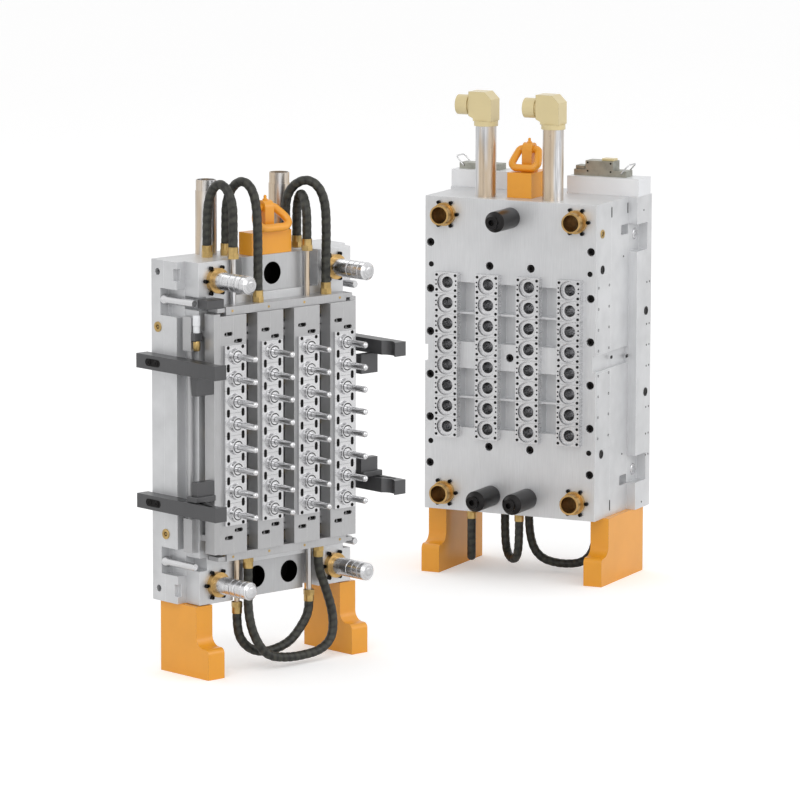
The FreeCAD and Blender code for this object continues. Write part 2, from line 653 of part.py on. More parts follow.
def cores():
    stem = rod("y", "0", "0", "0", "stem_radius", f"{BACKING_Y} - core_head_thick / 2")
    head = rod("y", "0", f"{BACKING_Y} - core_head_thick", "0", "core_head_radius", "core_head_thick")
    shaft = rod("y", "0", "-core_length", "0", "core_radius", "core_length + 1")
    tip = ball("0", "-core_length", "0", "core_radius")
    bore = rod("y", "0", "core_tip_wall - core_length - core_radius", "0", "core_bore_radius",
               f"{BACKING_Y} + core_length + core_radius - core_tip_wall")
    core = cut(fuse(stem, head, shaft, tip), bore)
    for name, low in (("upper_cores", ROWS // 2), ("lower_cores", 0)):
        rows = ROW_Z[low:] if low else ROW_Z[:ROWS // 2]
        node(name, "core", group(copies(core, [(x, "0", z) for x in COLUMN_X for z in rows])))
    pipe = rod("y", "0", "core_tip_wall - core_length - core_radius + tube_gap", "0", "tube_radius",
               f"{BACKING_Y} + tube_seat + core_length + core_radius - core_tip_wall - tube_gap")
    node("cooling_tubes", "core", group(copies(pipe, GRID)))


def cam_bars():
    """Four bars whose slanted grooves spread the slides as the stripper plate comes forward."""
    slot_radius = "(roller_radius + groove_gap)"
    stretch = "sqrt(slide_stroke ^ 2 + stripper_stroke ^ 2)"
    slot = fuse(box(both(slot_radius), ("0", stretch), ("0", "roller_depth + 1.5")),
                rod("z", "0", "0", "0", slot_radius, "roller_depth + 1.5"),
                rod("z", "0", stretch, "0", slot_radius, "roller_depth + 1.5"))
    bars = []
    for side in SIDES:
        for level in SIDES:
            z = span(level, "cam_z - cam_height / 2", "cam_z + cam_height / 2")
            bar = box(span(side, "core_half_width", "core_half_width + cam_thick"),
                      ("-cam_front", "cam_rear"), z)
            scallop = rod("z", f"{side} * (core_half_width + scallop_depth - scallop_radius)",
                          "scallop_back - cam_front", f"{z[0]} - 1", "scallop_radius", "cam_height + 2")
            groove = copies(slot, [(f"{side} * (core_half_width + roller_out + slide_stroke)",
                                    "roller_y - stripper_stroke",
                                    "cam_z - cam_height / 2 - 1" if level > 0
                                    else "cam_height / 2 - cam_z - roller_depth - 0.5")])[0]
            groove.setExpression("Placement.Rotation.Angle",
                                 ex(f"{side} * atan(slide_stroke / stripper_stroke)"))
            bars.append(cut(bar, scallop, groove))
    node("cam_bars", "core", group(bars))


def foot(front, rear, relief):
    """One foot: an upright with a toe, drawn from the side and padded across."""
    floor = "-(plate_half_height + foot_height)"
    toe_front = f"{front} - toe_length"
    toe_top = f"{floor} + toe_height"
    corners = [(toe_front, floor), (toe_front, toe_top), (front, toe_top)]
    if relief:
        corners += [(front, "-plate_half_height - foot_relief"),
                    (CORE_Y, "-plate_half_height - foot_relief"), (CORE_Y, "-plate_half_height")]
    else:
        corners += [(front, "-plate_half_height")]
    corners += [(rear, "-plate_half_height"), (rear, floor)]
    body, sketch = outline_body("YZ_Plane", corners)
    pad = body.newObject("PartDesign::Pad", "pad")
    pad.Profile = sketch
    pad.Midplane = True
    bind(pad, Length="foot_width")
    doc.recompute()
    rounding = ((number(toe_front), number(toe_top), "toe_round"),
                (number(front), number(toe_top), "foot_fillet"))
    for y, z, radius in rounding:
        last = body.Tip
        edge = next(f"Edge{index}" for index, edge in enumerate(last.Shape.Edges, start=1)
                    if all(abs(v.Point.y - y) < 0.01 and abs(v.Point.z - z) < 0.01 for v in edge.Vertexes))
        fillet = body.newObject("PartDesign::Fillet", "rounding")
        fillet.Base = (last, [edge])
        bind(fillet, Radius=radius)
        doc.recompute()
    return body


def feet(label, half, master, inset):
    places = [(f"{side} * (core_half_width - {inset} - foot_width / 2)", "0", "0") for side in SIDES]
    node(label, half, group(copies(master, places)))


def lifting_gear(prefix, half, half_width, front, rear, height, hub_y, ring_half):
    """A lifting block with a swivel on it and a lifting ring hung forward in the swivel's lug."""
    top = f"({PLATE} + {height})"
    block = box(both(half_width), (front, rear), (PLATE, top))
    bore = rod("z", "0", hub_y, f"{top} - shank_depth - 1", "shank_bore + shank_gap", "shank_depth + 2")
    node(prefix + "_lifting_block", half, cut(block, bore))
    pivot = f"({top} + ring_pivot)"
    swivel = fuse(rod("z", "0", hub_y, f"{top} - shank_depth", "shank_bore", "shank_depth + 1"),
                  rod("z", "0", hub_y, top, "hub_radius", "hub_base"),
                  box(both("lug_width / 2"), mid(hub_y, "lug_radius"), (f"{top} + hub_base / 2", pivot)),
                  rod("x", "-lug_width / 2", hub_y, pivot, "lug_radius", "lug_width"))
    eye = rod("x", "-lug_width / 2 - 1", hub_y, pivot, "ring_wire + ring_wire_gap", "lug_width + 2")
    node(prefix + "_swivel", half, cut(swivel, eye))
    plate_top = size(PLATE) + size(height)
    drop = size("ring_pivot") - size("ring_wire") - size("ring_rest_gap")
    lean = size("ring_lean")
    bar = size("lug_width") / 2 + size("ring_wire") * 1.2
    wide = size(ring_half)
    centre = Vector(0, size(hub_y), plate_top + size("ring_pivot"))
    shape = [(-bar, 0), (bar, 0), (wide * 0.92, 0.5), (wide, 0.8), (wide * 0.7, 1), (-wide * 0.7, 1),
             (-wide, 0.8), (-wide * 0.92, 0.5)]
    shares = [0.25, 0.25] + [0.45] * (len(shape) - 2)
    points = [centre + Vector(across, -lean * down, -drop * down) for across, down in shape]
    node(prefix + "_lift_ring", half, tube(points, size("ring_wire"), True, shares))


def core_water_pipes():
    places = [(f"{side} * core_pipe_x", "core_pipe_y", PLATE) for side in SIDES]
    pipe = cut(fuse(rod("z", "0", "0", "0", "core_pipe_radius", "core_pipe_height - thread_length"),
                    rod("z", "0", "0", "0", "thread_radius", "core_pipe_height")),
               rod("z", "0", "0", "0", "core_pipe_radius - pipe_wall", "core_pipe_height"))
    node("core_water_pipes", "core", group(copies(pipe, places)))


def fitting(up):
    """A hose fitting: a hexagon and a ferrule, pointing up or down from where it is screwed in."""
    hexagon = doc.addObject("Part::Prism", "hexagon")
    hexagon.Polygon = 6
    bind(hexagon, Circumradius="hex_radius", Height="hex_height")
    place(hexagon, "0", "0", "0" if up else "-hex_height")
    ferrule = rod("z", "0", "0", "hex_height" if up else "-hex_height - ferrule_height",
                  "ferrule_radius", "ferrule_height")
    low = "0" if up else "-hex_height - ferrule_height"
    bore = rod("z", "0", "0", low, "fitting_bore_radius", "hex_height + ferrule_height")
    return cut(fuse(hexagon, ferrule), bore)


STUB_Y = f"({STRIPPER_Y} - stub_back)"
PORT_Y = f"({STRIPPER_Y} - rail_port_back)"
RAIL_LOW = "(slide_half_height + rail_gap)"
RAIL_TOP = f"({RAIL_LOW} + rail_height)"
STUB_END = f"({PLATE} + stub_rise)"
BASE_Y = f"({CORE_Y} + base_back)"


def core_fittings(up_fitting):
    places = [(x, BASE_Y, PLATE) for x in ("-base_a", "-base_b", "base_c", "base_d")]
    node("core_hose_fittings", "core", group(copies(up_fitting, places)))


def upper_hoses():
    """Four hoses from the core plate over to the stripper plate, bowed as they stand in the photo."""
    back = number(BASE_Y)
    base = size("plate_half_height") + size("hex_height") + size("ferrule_height")
    stub = number(STUB_END) + size("hex_height") + size("ferrule_height")
    port = number(RAIL_TOP) + size("hex_height") + size("ferrule_height")
    stub_y = number(STUB_Y)
    port_y = number(PORT_Y)
    a, b, c, d = (size(name) for name in ("base_a", "base_b", "base_c", "base_d"))
    hose("hose_a", "core", [
        (-a, back, base), (-a, back, base + 48), (-a + 1, back - 3, base + 96),
        (-a + 4, back - 16, base + 128),
        (-a + 6, back - 38, base + 140), (-a + 9, back - 59, base + 128),
        (-size("stub_top_left"), stub_y + 1, base + 96), (-size("stub_top_left"), stub_y, base + 52),
        (-size("stub_top_left"), stub_y, stub)])
    hose("hose_b", "core", [
        (-b, back, base), (-b, back, base + 46), (-b + 1, back - 1, base + 92),
        (-b + 5, back - 16, base + 126),
        (-b + 10, back - 42, base + 143), (-b + 16, back - 68, base + 130),
        (-size("port_top_left") - 2, port_y + 2, base + 92),
        (-size("port_top_left") - 1, port_y - 1, base + 20),
        (-size("port_top_left"), port_y, base - 44), (-size("port_top_left"), port_y, port)])
    hose("hose_c", "core", [
        (c, back, base), (c, back, base + 46), (c + 1, back - 1, base + 88), (c + 9, back - 16, base + 116),
        (c + 23, back - 42, base + 131), (c + 37, back - 68, base + 118),
        (size("port_top_right") + 1, port_y + 2, base + 80),
        (size("port_top_right") + 1, port_y - 1, base + 14),
        (size("port_top_right"), port_y, base - 46), (size("port_top_right"), port_y, port)])
    hose("hose_d", "core", [
        (d, back, base), (d, back, base + 34), (d - 1, back - 2, base + 66), (d - 9, back - 18, base + 91),
        (d - 18, back - 37, base + 99), (d - 27, back - 56, base + 90),
        (size("stub_top_right"), stub_y + 1, base + 64), (size("stub_top_right"), stub_y, base + 30),
        (size("stub_top_right"), stub_y, stub)])


# Core half: the stripper plate and what moves with it.
def stripper_plate():
    plate = box(both(STRIPPER_X), (STRIPPER_Y, CORE_Y), both(PLATE))
    tools = grid_holes(STRIPPER_Y, "stem_radius + stem_gap", "stripper_thick")
    tools += copies(rod("y", "0", STRIPPER_Y, "0", "bush_radius", "stripper_thick"), CORNERS)
    for level in SIDES:
        tools.append(box(both("notch_half_width"),
                         (STRIPPER_Y, CORE_Y), span(level, BLOCK_INNER, f"{PLATE} + 1")))
        for side in SIDES:
            tools.append(box(span(side, f"{STRIPPER_X} - side_notch_depth", f"{STRIPPER_X} + 1"),
                             (STRIPPER_Y, CORE_Y),
                             span(level, f"{PLATE} - side_notch_low", f"{PLATE} - side_notch_high")))
    node("stripper_plate", "core", cut(plate, *tools))


def stripper_bushings():
    bore = "pin_radius + running_gap"
    front = f"{STRIPPER_Y} - bush_flange_thick"
    corners = [(front, bore), (front, "bush_flange_radius"), (STRIPPER_Y, "bush_flange_radius"),
               (STRIPPER_Y, "bush_radius"), (CORE_Y, "bush_radius"), (CORE_Y, bore)]
    node("stripper_bushings", "core", group(copies(turned(corners), CORNERS)))


def push_rods():
    places = [(f"{side} * column_pitch", CORE_Y, f"{level} * rod_rows * row_pitch")
              for side in SIDES for level in SIDES]
    bar = rod("y", "0", "0", "0", "rod_radius", "core_plate_thick + backing_thick")
    node("push_rods", "core", group(copies(bar, places)))


def guide_rails():
    front = f"{STRIPPER_Y} - rail_proud"
    node("guide_rails", "core", group([
        box(both("rail_half_length"),
            (front, STRIPPER_Y), span(level, RAIL_LOW, RAIL_TOP)) for level in SIDES]))


def wear_strips():
    places = [f"{index} * row_pitch * 2" for index in (-1, 0, 1)]
    places += [f"{level} * (slide_half_height - end_strip_offset)" for level in SIDES]
    node("wear_strips", "core", group([
        box(both(f"{STRIPPER_X} - tie_bar_width"), (STRIP_Y, STRIPPER_Y), mid(z, "strip_height / 2"))
        for z in places]))


def stripper_pipework(up_fitting, down_fitting):
    upper = ("-stub_top_left", "stub_top_right")
    lower = ("-stub_low_left", "stub_low_right")
    reach = f"{STUB_END} - {RAIL_TOP}"
    tubes = [rod("z", x, STUB_Y, RAIL_TOP, "stub_radius", reach) for x in upper]
    tubes += [rod("z", x, STUB_Y, f"-{STUB_END}", "stub_radius", reach) for x in lower]
    node("stub_tubes", "core", group(tubes))
    fittings = copies(up_fitting, [(x, STUB_Y, STUB_END) for x in upper])
    fittings += copies(up_fitting, [(x, PORT_Y, RAIL_TOP) for x in ("-port_top_left", "port_top_right")])
    fittings += copies(down_fitting, [(x, STUB_Y, f"-{STUB_END}") for x in lower])
    ports = ("-port_low_left", "port_low_right")
    fittings += copies(down_fitting, [(x, PORT_Y, f"-{RAIL_TOP}") for x in ports])
    node("stripper_hose_fittings", "core", group(fittings))


def side_manifolds():
    """Two water blocks on the left side of the stripper plate, with a tube between them."""
    x = span(-1, STRIPPER_X, SIDE_BLOCK_X)
    y = ("side_block_y", "side_block_y + side_block_depth")
    middle = (f"-({STRIPPER_X} + {SIDE_BLOCK_X}) / 2", "side_block_y + side_block_depth / 2")
    pieces = [box(x, y, span(level, "side_block_low", "side_block_high")) for level in SIDES]
    pieces.append(rod("z", middle[0], middle[1], "-side_block_low", "side_tube_radius", "2 * side_block_low"))
    node("side_manifolds", "core", group(pieces))


def lower_hoses():
    """Two hoses that hang in loops below the stripper plate."""
    ends = size("hex_height") + size("ferrule_height")
    stub = -number(STUB_END) - ends
    port = -number(RAIL_TOP) - ends
    stub_y = number(STUB_Y)
    port_y = number(PORT_Y)
    floor = -size("plate_half_height") - size("foot_height")
    names = ("stub_low_left", "stub_low_right", "port_low_left", "port_low_right")
    sl, sr, pl, pr = (size(name) for name in names)
    hose("hose_e", "core", [
        (-sl, stub_y, stub), (-sl, stub_y, stub - 26), (-sl + 8, stub_y, stub - 58),
        (-sl + 34, stub_y - 2, floor + 46), (-sl + 76, stub_y - 1, floor + 33),
        (sr - 92, stub_y, floor + 36),
        (sr - 52, stub_y + 1, floor + 48), (sr - 20, stub_y + 1, floor + 78), (sr, stub_y, stub - 24),
        (sr, stub_y, stub)])
    hose("hose_f", "core", [
        (-pl, port_y, port), (-pl, port_y, port - 44), (-pl - 10, port_y - 12, port - 100),
        (-pl - 2, port_y - 22, port - 152), (-pl + 30, port_y - 26, floor + 34),
        (-pl + 82, port_y - 28, floor + 22),
        (pr - 74, port_y - 28, floor + 20), (pr - 14, port_y - 26, floor + 24),
        (pr + 26, port_y - 20, floor + 48),
        (pr + 34, port_y - 12, floor + 100), (pr + 18, port_y - 4, floor + 160), (pr, port_y, port - 26),
        (pr, port_y, port)])


def bolt_pocket(x, z):
    """An oblong pocket for two bolts in a slide bar's front."""
    reach = "(pocket_length - pocket_width) / 2"
    depth = (SLIDE_Y, f"{SLIDE_Y} + pocket_depth")
    return fuse(box(mid(x, reach), depth, mid(z, "pocket_width / 2")),
                *[rod("y", f"{x} + {end} * {reach}", SLIDE_Y, z, "pocket_width / 2", "pocket_depth")
                  for end in SIDES])


def slide_set(name, side):
    """The slide bars, neck-ring halves, tie bar and cam followers that one pair of cam bars moves."""
    links = (f"{name}_link_top", f"-{name}_link_bottom")
    bore = rod("y", "0", SLIDE_Y, "0", "shank_radius", "slide_thick")
    bars = []
    for x in COLUMN_X:
        bar = box(span(side, "0", "slide_width"), (SLIDE_Y, STRIP_Y), both("slide_half_height"))
        holes = copies(bore, [("0", "0", z) for z in ROW_Z])
        pockets = [bolt_pocket(f"{side} * pocket_offset", z) for z in links]
        bars.append(place(cut(bar, *holes, *pockets), x, "0", "0"))
    node(f"{name}_slides", "core", group(bars))
    outer = "(column_pitch * (columns - 1) / 2 + slide_width)"
    front = SLIDE_Y if side < 0 else f"{SLIDE_Y} + right_tie_back"
    tie = box(span(side, outer, f"{outer} + tie_bar_width"), (front, STRIP_Y),
              ("-tie_bar_bottom", "tie_bar_top"))
    reach = span(side, "pocket_length - column_pitch * (columns - 1) / 2", f"{outer} + tie_bar_width")
    bars = [box(reach, (STRIP_Y, f"{STRIPPER_Y} - link_gap"), mid(z, "link_height / 2")) for z in links]
    node(f"{name}_tie_bar", "core", fuse(tie, *bars))
    ring = cut(fuse(box(both("ring_width / 2"), (RING_Y, SLIDE_Y), both("ring_height / 2")),
                    rod("y", "0", "0", "0", "collar_top_radius", RING_Y, "collar_radius"),
                    rod("y", "0", SLIDE_Y, "0", "shank_radius", "shank_length")),
               rod("y", "0", "0", "0", "neck_radius", f"{SLIDE_Y} + shank_length"))
    half = common(ring, box(span(side, "0", "ring_width"), ("-1", STRIP_Y), both("ring_height")))
    node(f"{name}_neck_rings", "core", group(copies(half, GRID)))
    brackets = []
    rollers = []
    x = span(side, f"{outer} + tie_bar_width", "core_half_width + roller_out + follower_cover")
    pin_x = f"{side} * (core_half_width + roller_out)"
    for level in SIDES:
        top = "cam_z - cam_height / 2 - follower_gap"
        block = box(x, mid("roller_y", "follower_half_depth"), span(level, f"{top} - follower_height", top))
        length = "follower_height / 2 + follower_gap + roller_depth"
        start = f"{top} - follower_height / 2"
        low = start if level > 0 else f"-({start}) - ({length})"
        brackets.append(cut(block, rod("z", pin_x, "roller_y", low, "roller_radius", length)))
        rollers.append(rod("z", pin_x, "roller_y", low, "roller_radius", length))
    node(f"{name}_cam_followers", "core", group(brackets + rollers))


# Cavity half.
def cavity_plate():
    plate = box(both("hot_half_width"), (CAVITY_Y, MANIFOLD_Y), both(PLATE))
    tools = grid_holes(CAVITY_Y, "insert_radius", "insert_length")
    tools += grid_holes(INSERT_END_Y, "nozzle_radius + nozzle_gap", f"{MANIFOLD_Y} - {INSERT_END_Y}")
    tools += copies(rod("y", "0", CAVITY_Y, "0", "bush_radius", "hot_bush_root"), CORNERS)
    tools += copies(rod("y", "0", CAVITY_Y, "0", "locating_root_radius", "locating_root"), LOCATING)
    for gap in range(COLUMNS - 1):
        x = f"{gap - (COLUMNS - 2) / 2} * column_pitch"
        for level in SIDES:
            for low, high in (("recess_inner", "recess_web_z - recess_web / 2"),
                              ("recess_web_z + recess_web / 2", "recess_outer")):
                tools.append(box(mid(x, "recess_half_width"), (CAVITY_Y, f"{CAVITY_Y} + recess_depth"),
                                 span(level, low, high)))
    screws = [(f"{side} * (hot_half_width - screw_inset)", "0", f"{level} * {z}")
              for side in SIDES for level in SIDES
              for z in ("screw_low", "screw_mid", "screw_high")]
    screws += [(f"{side} * inner_screw_x", "0", f"{level} * inner_screw_z")
               for side in SIDES for level in SIDES]
    screws.append(("0", "0", "0"))
    tools += copies(rod("y", "0", CAVITY_Y, "0", "screw_radius", "screw_depth"), screws)
    tools += cable_slot(CAVITY_Y, MANIFOLD_Y)
    tools += [rod("z", f"{side} * hot_pipe_x", "hot_pipe_y", f"{PLATE} - pipe_channel",
                  "hot_pipe_radius - pipe_wall", "pipe_channel + 1") for side in SIDES]
    node("cavity_plate", "cavity", cut(plate, *tools))


def cable_slot(front, rear):
    """The slot that runs back across the sides of the plates."""
    return [box(span(side, "hot_half_width - cable_slot_depth", "hot_half_width + 1"), (front, rear),
                both("cable_slot_half")) for side in SIDES]


def manifold_plate():
    plate = box(both("hot_half_width"), (MANIFOLD_Y, HOT_BACK_Y), both(PLATE))
    window = box(both("runner_half_width + runner_gap"), (f"{RUNNER_Y} - runner_gap", HOT_BACK_Y),
                 both("runner_half_height + runner_gap"))
    tools = grid_holes(MANIFOLD_Y, "nozzle_radius + nozzle_gap", "runner_front")
    tools += [box(span(side, "hot_half_width - hot_notch_depth", "hot_half_width + 1"),
                  (f"{HOT_BACK_Y} - hot_notch_reach", HOT_BACK_Y),
                  span(level, f"{PLATE} - hot_notch_low", f"{PLATE} - hot_notch_high"))
              for side in SIDES for level in SIDES]
    node("manifold_plate", "cavity", cut(plate, window, *tools, *cable_slot(MANIFOLD_Y, HOT_BACK_Y)))


def hot_backing_plate():
    plate = box(both("core_half_width"), (HOT_BACK_Y, HOT_REAR_Y), both(PLATE))
    tools = clamp_pockets("core_half_width", HOT_BACK_Y, "hot_clamp_width", "hot_clamp_low", "hot_clamp_high")
    tools.append(rod("y", "0", HOT_BACK_Y, "0", "sprue_radius", "hot_back_thick"))
    node("hot_backing_plate", "cavity", cut(plate, *tools))


def hot_runner():
    """The heated manifold on its support pads, with a nozzle to each cavity and the sprue bushing."""
    rear = f"({RUNNER_Y} + runner_thick)"
    block = box(both("runner_half_width"), (RUNNER_Y, rear), both("runner_half_height"))
    nozzles = copies(rod("y", "0", INSERT_END_Y, "0", "nozzle_radius", f"{RUNNER_Y} - {INSERT_END_Y}"), GRID)
    pads = [rod("y", f"{side} * pad_x", rear, f"{level} * pad_z", "pad_radius", f"{HOT_BACK_Y} - {rear}")
            for side in SIDES for level in SIDES]
    sprue = cut(rod("y", "0", rear, "0", "sprue_radius", f"{HOT_REAR_Y} - {rear}"),
                rod("y", "0", rear, "0", "sprue_radius / 4", f"{HOT_REAR_Y} - {rear}"))
    node("hot_runner", "cavity", group([block, *pads, *nozzles, sprue]))
    ring = cut(rod("y", "0", HOT_REAR_Y, "0", "locating_ring_radius", "locating_ring_thick"),
               rod("y", "0", HOT_REAR_Y, "0", "sprue_radius", "locating_ring_thick"))
    node("locating_ring", "cavity", ring)


def cavity_inserts():
    flange = box(both("ring_width / 2"), ("-insert_proud", CAVITY_Y), both("ring_height / 2"))
    barrel = rod("y", "0", CAVITY_Y, "0", "insert_radius", "insert_length")
    taper = "(core_length - tip_radius + core_radius)"
    tools = [rod("y", "0", "-insert_proud", "0", "seat_radius", "insert_proud", "seat_floor_radius"),
             rod("y", "0", "-0.01", "0", "mouth_radius", f"{taper} + 0.01", "tip_radius"),
             ball("0", taper, "0", "tip_radius"),
             rod("y", "0", taper, "0", "gate_radius", f"{INSERT_END_Y} - {taper}")]
    insert = cut(fuse(flange, barrel), fuse(*tools))
    for name, low in (("upper_cavity_inserts", ROWS // 2), ("lower_cavity_inserts", 0)):
        rows = ROW_Z[low:] if low else ROW_Z[:ROWS // 2]
        node(name, "cavity", group(copies(insert, [(x, "0", z) for x in COLUMN_X for z in rows])))


def cavity_guides():
    bore = "pin_radius + running_gap"
    corners = [("-hot_bush_reach", bore), ("-hot_bush_reach", "bush_radius"), ("0", "bush_radius"),
               ("0", "bush_flange_radius"), (CAVITY_Y, "bush_flange_radius"), (CAVITY_Y, "bush_radius"),
               (f"{CAVITY_Y} + hot_bush_root", "bush_radius"), (f"{CAVITY_Y} + hot_bush_root", bore)]
    node("cavity_bushings", "cavity", group(copies(turned(corners), CORNERS)))
    tip = f"({CAVITY_Y} - locating_reach)"
    corners = [(f"{CAVITY_Y} + locating_root", "0"),
               (f"{CAVITY_Y} + locating_root", "locating_root_radius"),
               (CAVITY_Y, "locating_root_radius"), (CAVITY_Y, "locating_radius"),
               (f"{tip} + locating_nose", "locating_radius"),
               (f"{tip} + locating_nose / 2", "locating_nose_radius"),
               (tip, "locating_nose_radius"), (tip, "socket_radius"),
               (f"{tip} + socket_depth", "socket_radius"),
               (f"{tip} + socket_depth", "0")]
    node("locating_pins", "cavity", group(copies(turned(corners), LOCATING)))


def hot_pipes():
    places = [(f"{side} * hot_pipe_x", "hot_pipe_y", PLATE) for side in SIDES]
    pipe = cut(rod("z", "0", "0", "0", "hot_pipe_radius", "hot_pipe_height"),
               rod("z", "0", "0", "0", "hot_pipe_radius - pipe_wall", "hot_pipe_height"))
    node("hot_water_pipes", "cavity", group(copies(pipe, places)))
    corners = [("-elbow_half", "elbow_collar"), ("elbow_half", "elbow_collar"),
               ("elbow_half", "elbow_height - elbow_bevel"), ("elbow_half - elbow_bevel", "elbow_height"),
               ("-elbow_body_reach", "elbow_height"),
               ("-elbow_body_reach", "elbow_outlet_z - elbow_half"),
               ("-elbow_half", "elbow_outlet_z - elbow_half - elbow_chin")]
    body, sketch = outline_body("XZ_Plane", corners)
    pad = body.newObject("PartDesign::Pad", "pad")
    pad.Profile = sketch
    pad.Midplane = True
    bind(pad, Length="2 * elbow_half")
    elbow = cut(
        fuse(body, rod("z", "0", "0", "0", "elbow_collar_radius", "elbow_collar"),
             rod("x", "-elbow_body_reach - elbow_neck", "0", "elbow_outlet_z", "elbow_neck_radius",
                 "elbow_neck + 1"),
             rod("x", "-elbow_outlet_reach", "0", "elbow_outlet_z", "elbow_outlet_radius",
                 "elbow_outlet_reach - elbow_body_reach - elbow_neck")),
        fuse(rod("z", "0", "0", "0", "elbow_bore", "elbow_outlet_z"),
             ball("0", "0", "elbow_outlet_z", "elbow_bore"),
             rod("x", "-elbow_outlet_reach", "0", "elbow_outlet_z", "elbow_bore", "elbow_outlet_reach")))
    tops = [(f"{side} * hot_pipe_x", "hot_pipe_y", f"{PLATE} + hot_pipe_height") for side in SIDES]
    node("pipe_elbows", "cavity", group(copies(elbow, tops)))


def electrics():
    """Two junction boxes on the hot half's top, each with a connector and a wire latch."""
    front = f"({HOT_BACK_Y} + box_front)"
    top = f"({PLATE} + box_height)"
    boxes = []
    for x in (span(-1, "left_box_inner", "core_half_width"), span(1, "right_box_inner", "core_half_width")):
        inner = (f"{x[0]} + box_wall", f"{x[1]} - box_wall")
        boxes.append(cut(box(x, (front, f"{front} + box_depth"), (PLATE, top)),
                         box(inner, (f"{front} + box_wall", f"{front} + box_depth - box_wall"),
                             (PLATE, f"{top} - box_wall"))))
    node("junction_boxes", "cavity", group(boxes))
    y = (f"{front} + connector_front", f"{front} + connector_front + connector_depth")
    hinge_z = f"({top} + latch_rise)"
    ends = {-1: "(core_half_width - left_connector_inset)", 1: "(core_half_width - right_connector_inset)"}
    hinge = {side: f"{side} * ({end} - latch_in)" for side, end in ends.items()}
    housings = []
    for side, name in ((-1, "left"), (1, "right")):
        block = box(span(side, f"{name}_connector_inner", ends[side]), y,
                    (top, f"{top} + connector_height"))
        if side > 0:
            hood_z = (f"{top} + connector_height / 2", f"{top} + connector_height + hood_height")
            block = fuse(block, box(("hood_inner", "hood_outer"), y, hood_z))
        eye = rod("y", hinge[side], f"{y[0]} - 1", hinge_z, "latch_wire + latch_wire_gap",
                  "connector_depth + 2")
        housings.append(cut(block, eye))
    node("connector_housings", "cavity", group(housings))
    near = number(y[0])
    far = number(y[1])
    wire = size("latch_wire")
    out = size("latch_side_gap") + wire
    rise = size("latch_height")
    for side, name in ((-1, "left"), (1, "right")):
        x = number(hinge[side])
        z = number(hinge_z)
        away = side * size("latch_reach")
        inside = size("connector_depth") / 5
        points = [(x, near + inside, z), (x, near - out, z), (x + away, near - out, z + rise),
                  (x + away, far + out, z + rise), (x, far + out, z), (x, far - inside, z)]
        bow = tube([Vector(*point) for point in points], wire, shares=[0.3] * len(points))
        node(f"{name}_latch", "cavity", bow)


# Inner side of a cavity-half foot, and where each hose's two ends are screwed into the underside, X and Y.
HOT_FOOT_X = "(core_half_width - hot_foot_inset - foot_width)"
HOT_HOSES = {
    "hot_hose_a": ((f"hot_port_front - {HOT_FOOT_X}", 58), (f"hot_port_rear - {HOT_FOOT_X}", 136)),
    "hot_hose_b": (("0", 70), ("-74", 150)),
    "hot_hose_c": (("-20", 172), (f"{HOT_FOOT_X} - hot_port_right", 172)),
}
# Lowest point of the narrow loops and of the wide one, above the floor.
HOT_LOOP_LOW = 34
WIDE_LOOP_LOW = 20


def hot_hoses(down_fitting):
    """Three hoses that hang in loops below the cavity half."""
    ends = [(x, str(y), f"-{PLATE}") for pair in HOT_HOSES.values() for x, y in pair]
    node("hot_hose_fittings", "cavity", group(copies(down_fitting, ends)))
    start = -size("plate_half_height") - size("hex_height") - size("ferrule_height")
    floor = -size("plate_half_height") - size("foot_height")
    for label, ((first, y0), (last, y1)) in HOT_HOSES.items():
        x0 = number(first)
        x1 = number(last)
        low = floor + HOT_LOOP_LOW
        if label == "hot_hose_c":
            low = floor + WIDE_LOOP_LOW
        route = [(0, start), (0, start - 52), (0.14, low + 8), (0.5, low - 4), (0.86, low + 8),
                 (1, start - 52),
                 (1, start)]
        hose(label, "cavity", [(x0 + (x1 - x0) * part, y0 + (y1 - y0) * part, z) for part, z in route])


LOCATING = [("0", "0", PIN_Z)] + [(f"{side} * twin_pin_x", "0", f"-{PIN_Z}") for side in SIDES]


def build():
    up_fitting = fitting(True)
    down_fitting = fitting(False)
    core_backing_plate()
    core_plate()
    centre_blocks()
    leader_pins()
    cores()
    cam_bars()
    feet("core_feet", "core", foot("foot_front", "foot_rear", True), "foot_inset")
    lifting_gear("core", "core", "lift_half_width", "lift_front", "lift_rear", "lift_height",
                 "hub_y", "ring_half")
    core_water_pipes()
    core_fittings(up_fitting)
    upper_hoses()
    stripper_plate()
    stripper_bushings()
    push_rods()
    guide_rails()
    wear_strips()
    stripper_pipework(up_fitting, down_fitting)
    side_manifolds()
    lower_hoses()
    slide_set("left", -1)
    slide_set("right", 1)
    cavity_plate()
    manifold_plate()
    hot_backing_plate()
    hot_runner()
    cavity_inserts()
    cavity_guides()
    feet("cavity_feet", "cavity", foot("hot_foot_front", "hot_foot_rear", False), "hot_foot_inset")
    lifting_gear("hot", "cavity", "hot_lift_half_width", "hot_lift_front", "hot_lift_rear", "hot_lift_height",
                 "hot_hub_y", "hot_ring_half")
    hot_pipes()
    electrics()
    hot_hoses(down_fitting)


def set_down(shift_x, shift_y):
    """Put each half on the floor, in the frame of the whole mould."""
    height = size("plate_half_height") + size("foot_height")
    beside = Vector(size("half_offset_x") + shift_x, size("half_offset_y") + shift_y, height)
    places = {
        "core": Placement(Vector(shift_x, shift_y, height), Rotation()),
        "cavity": Placement(beside, Rotation(Vector(0, 0, 1), -size("half_turn"))),
    }
    for label, half, thing in NODES:
        own = start_places[label]
        thing.Placement = places[half].multiply(own)


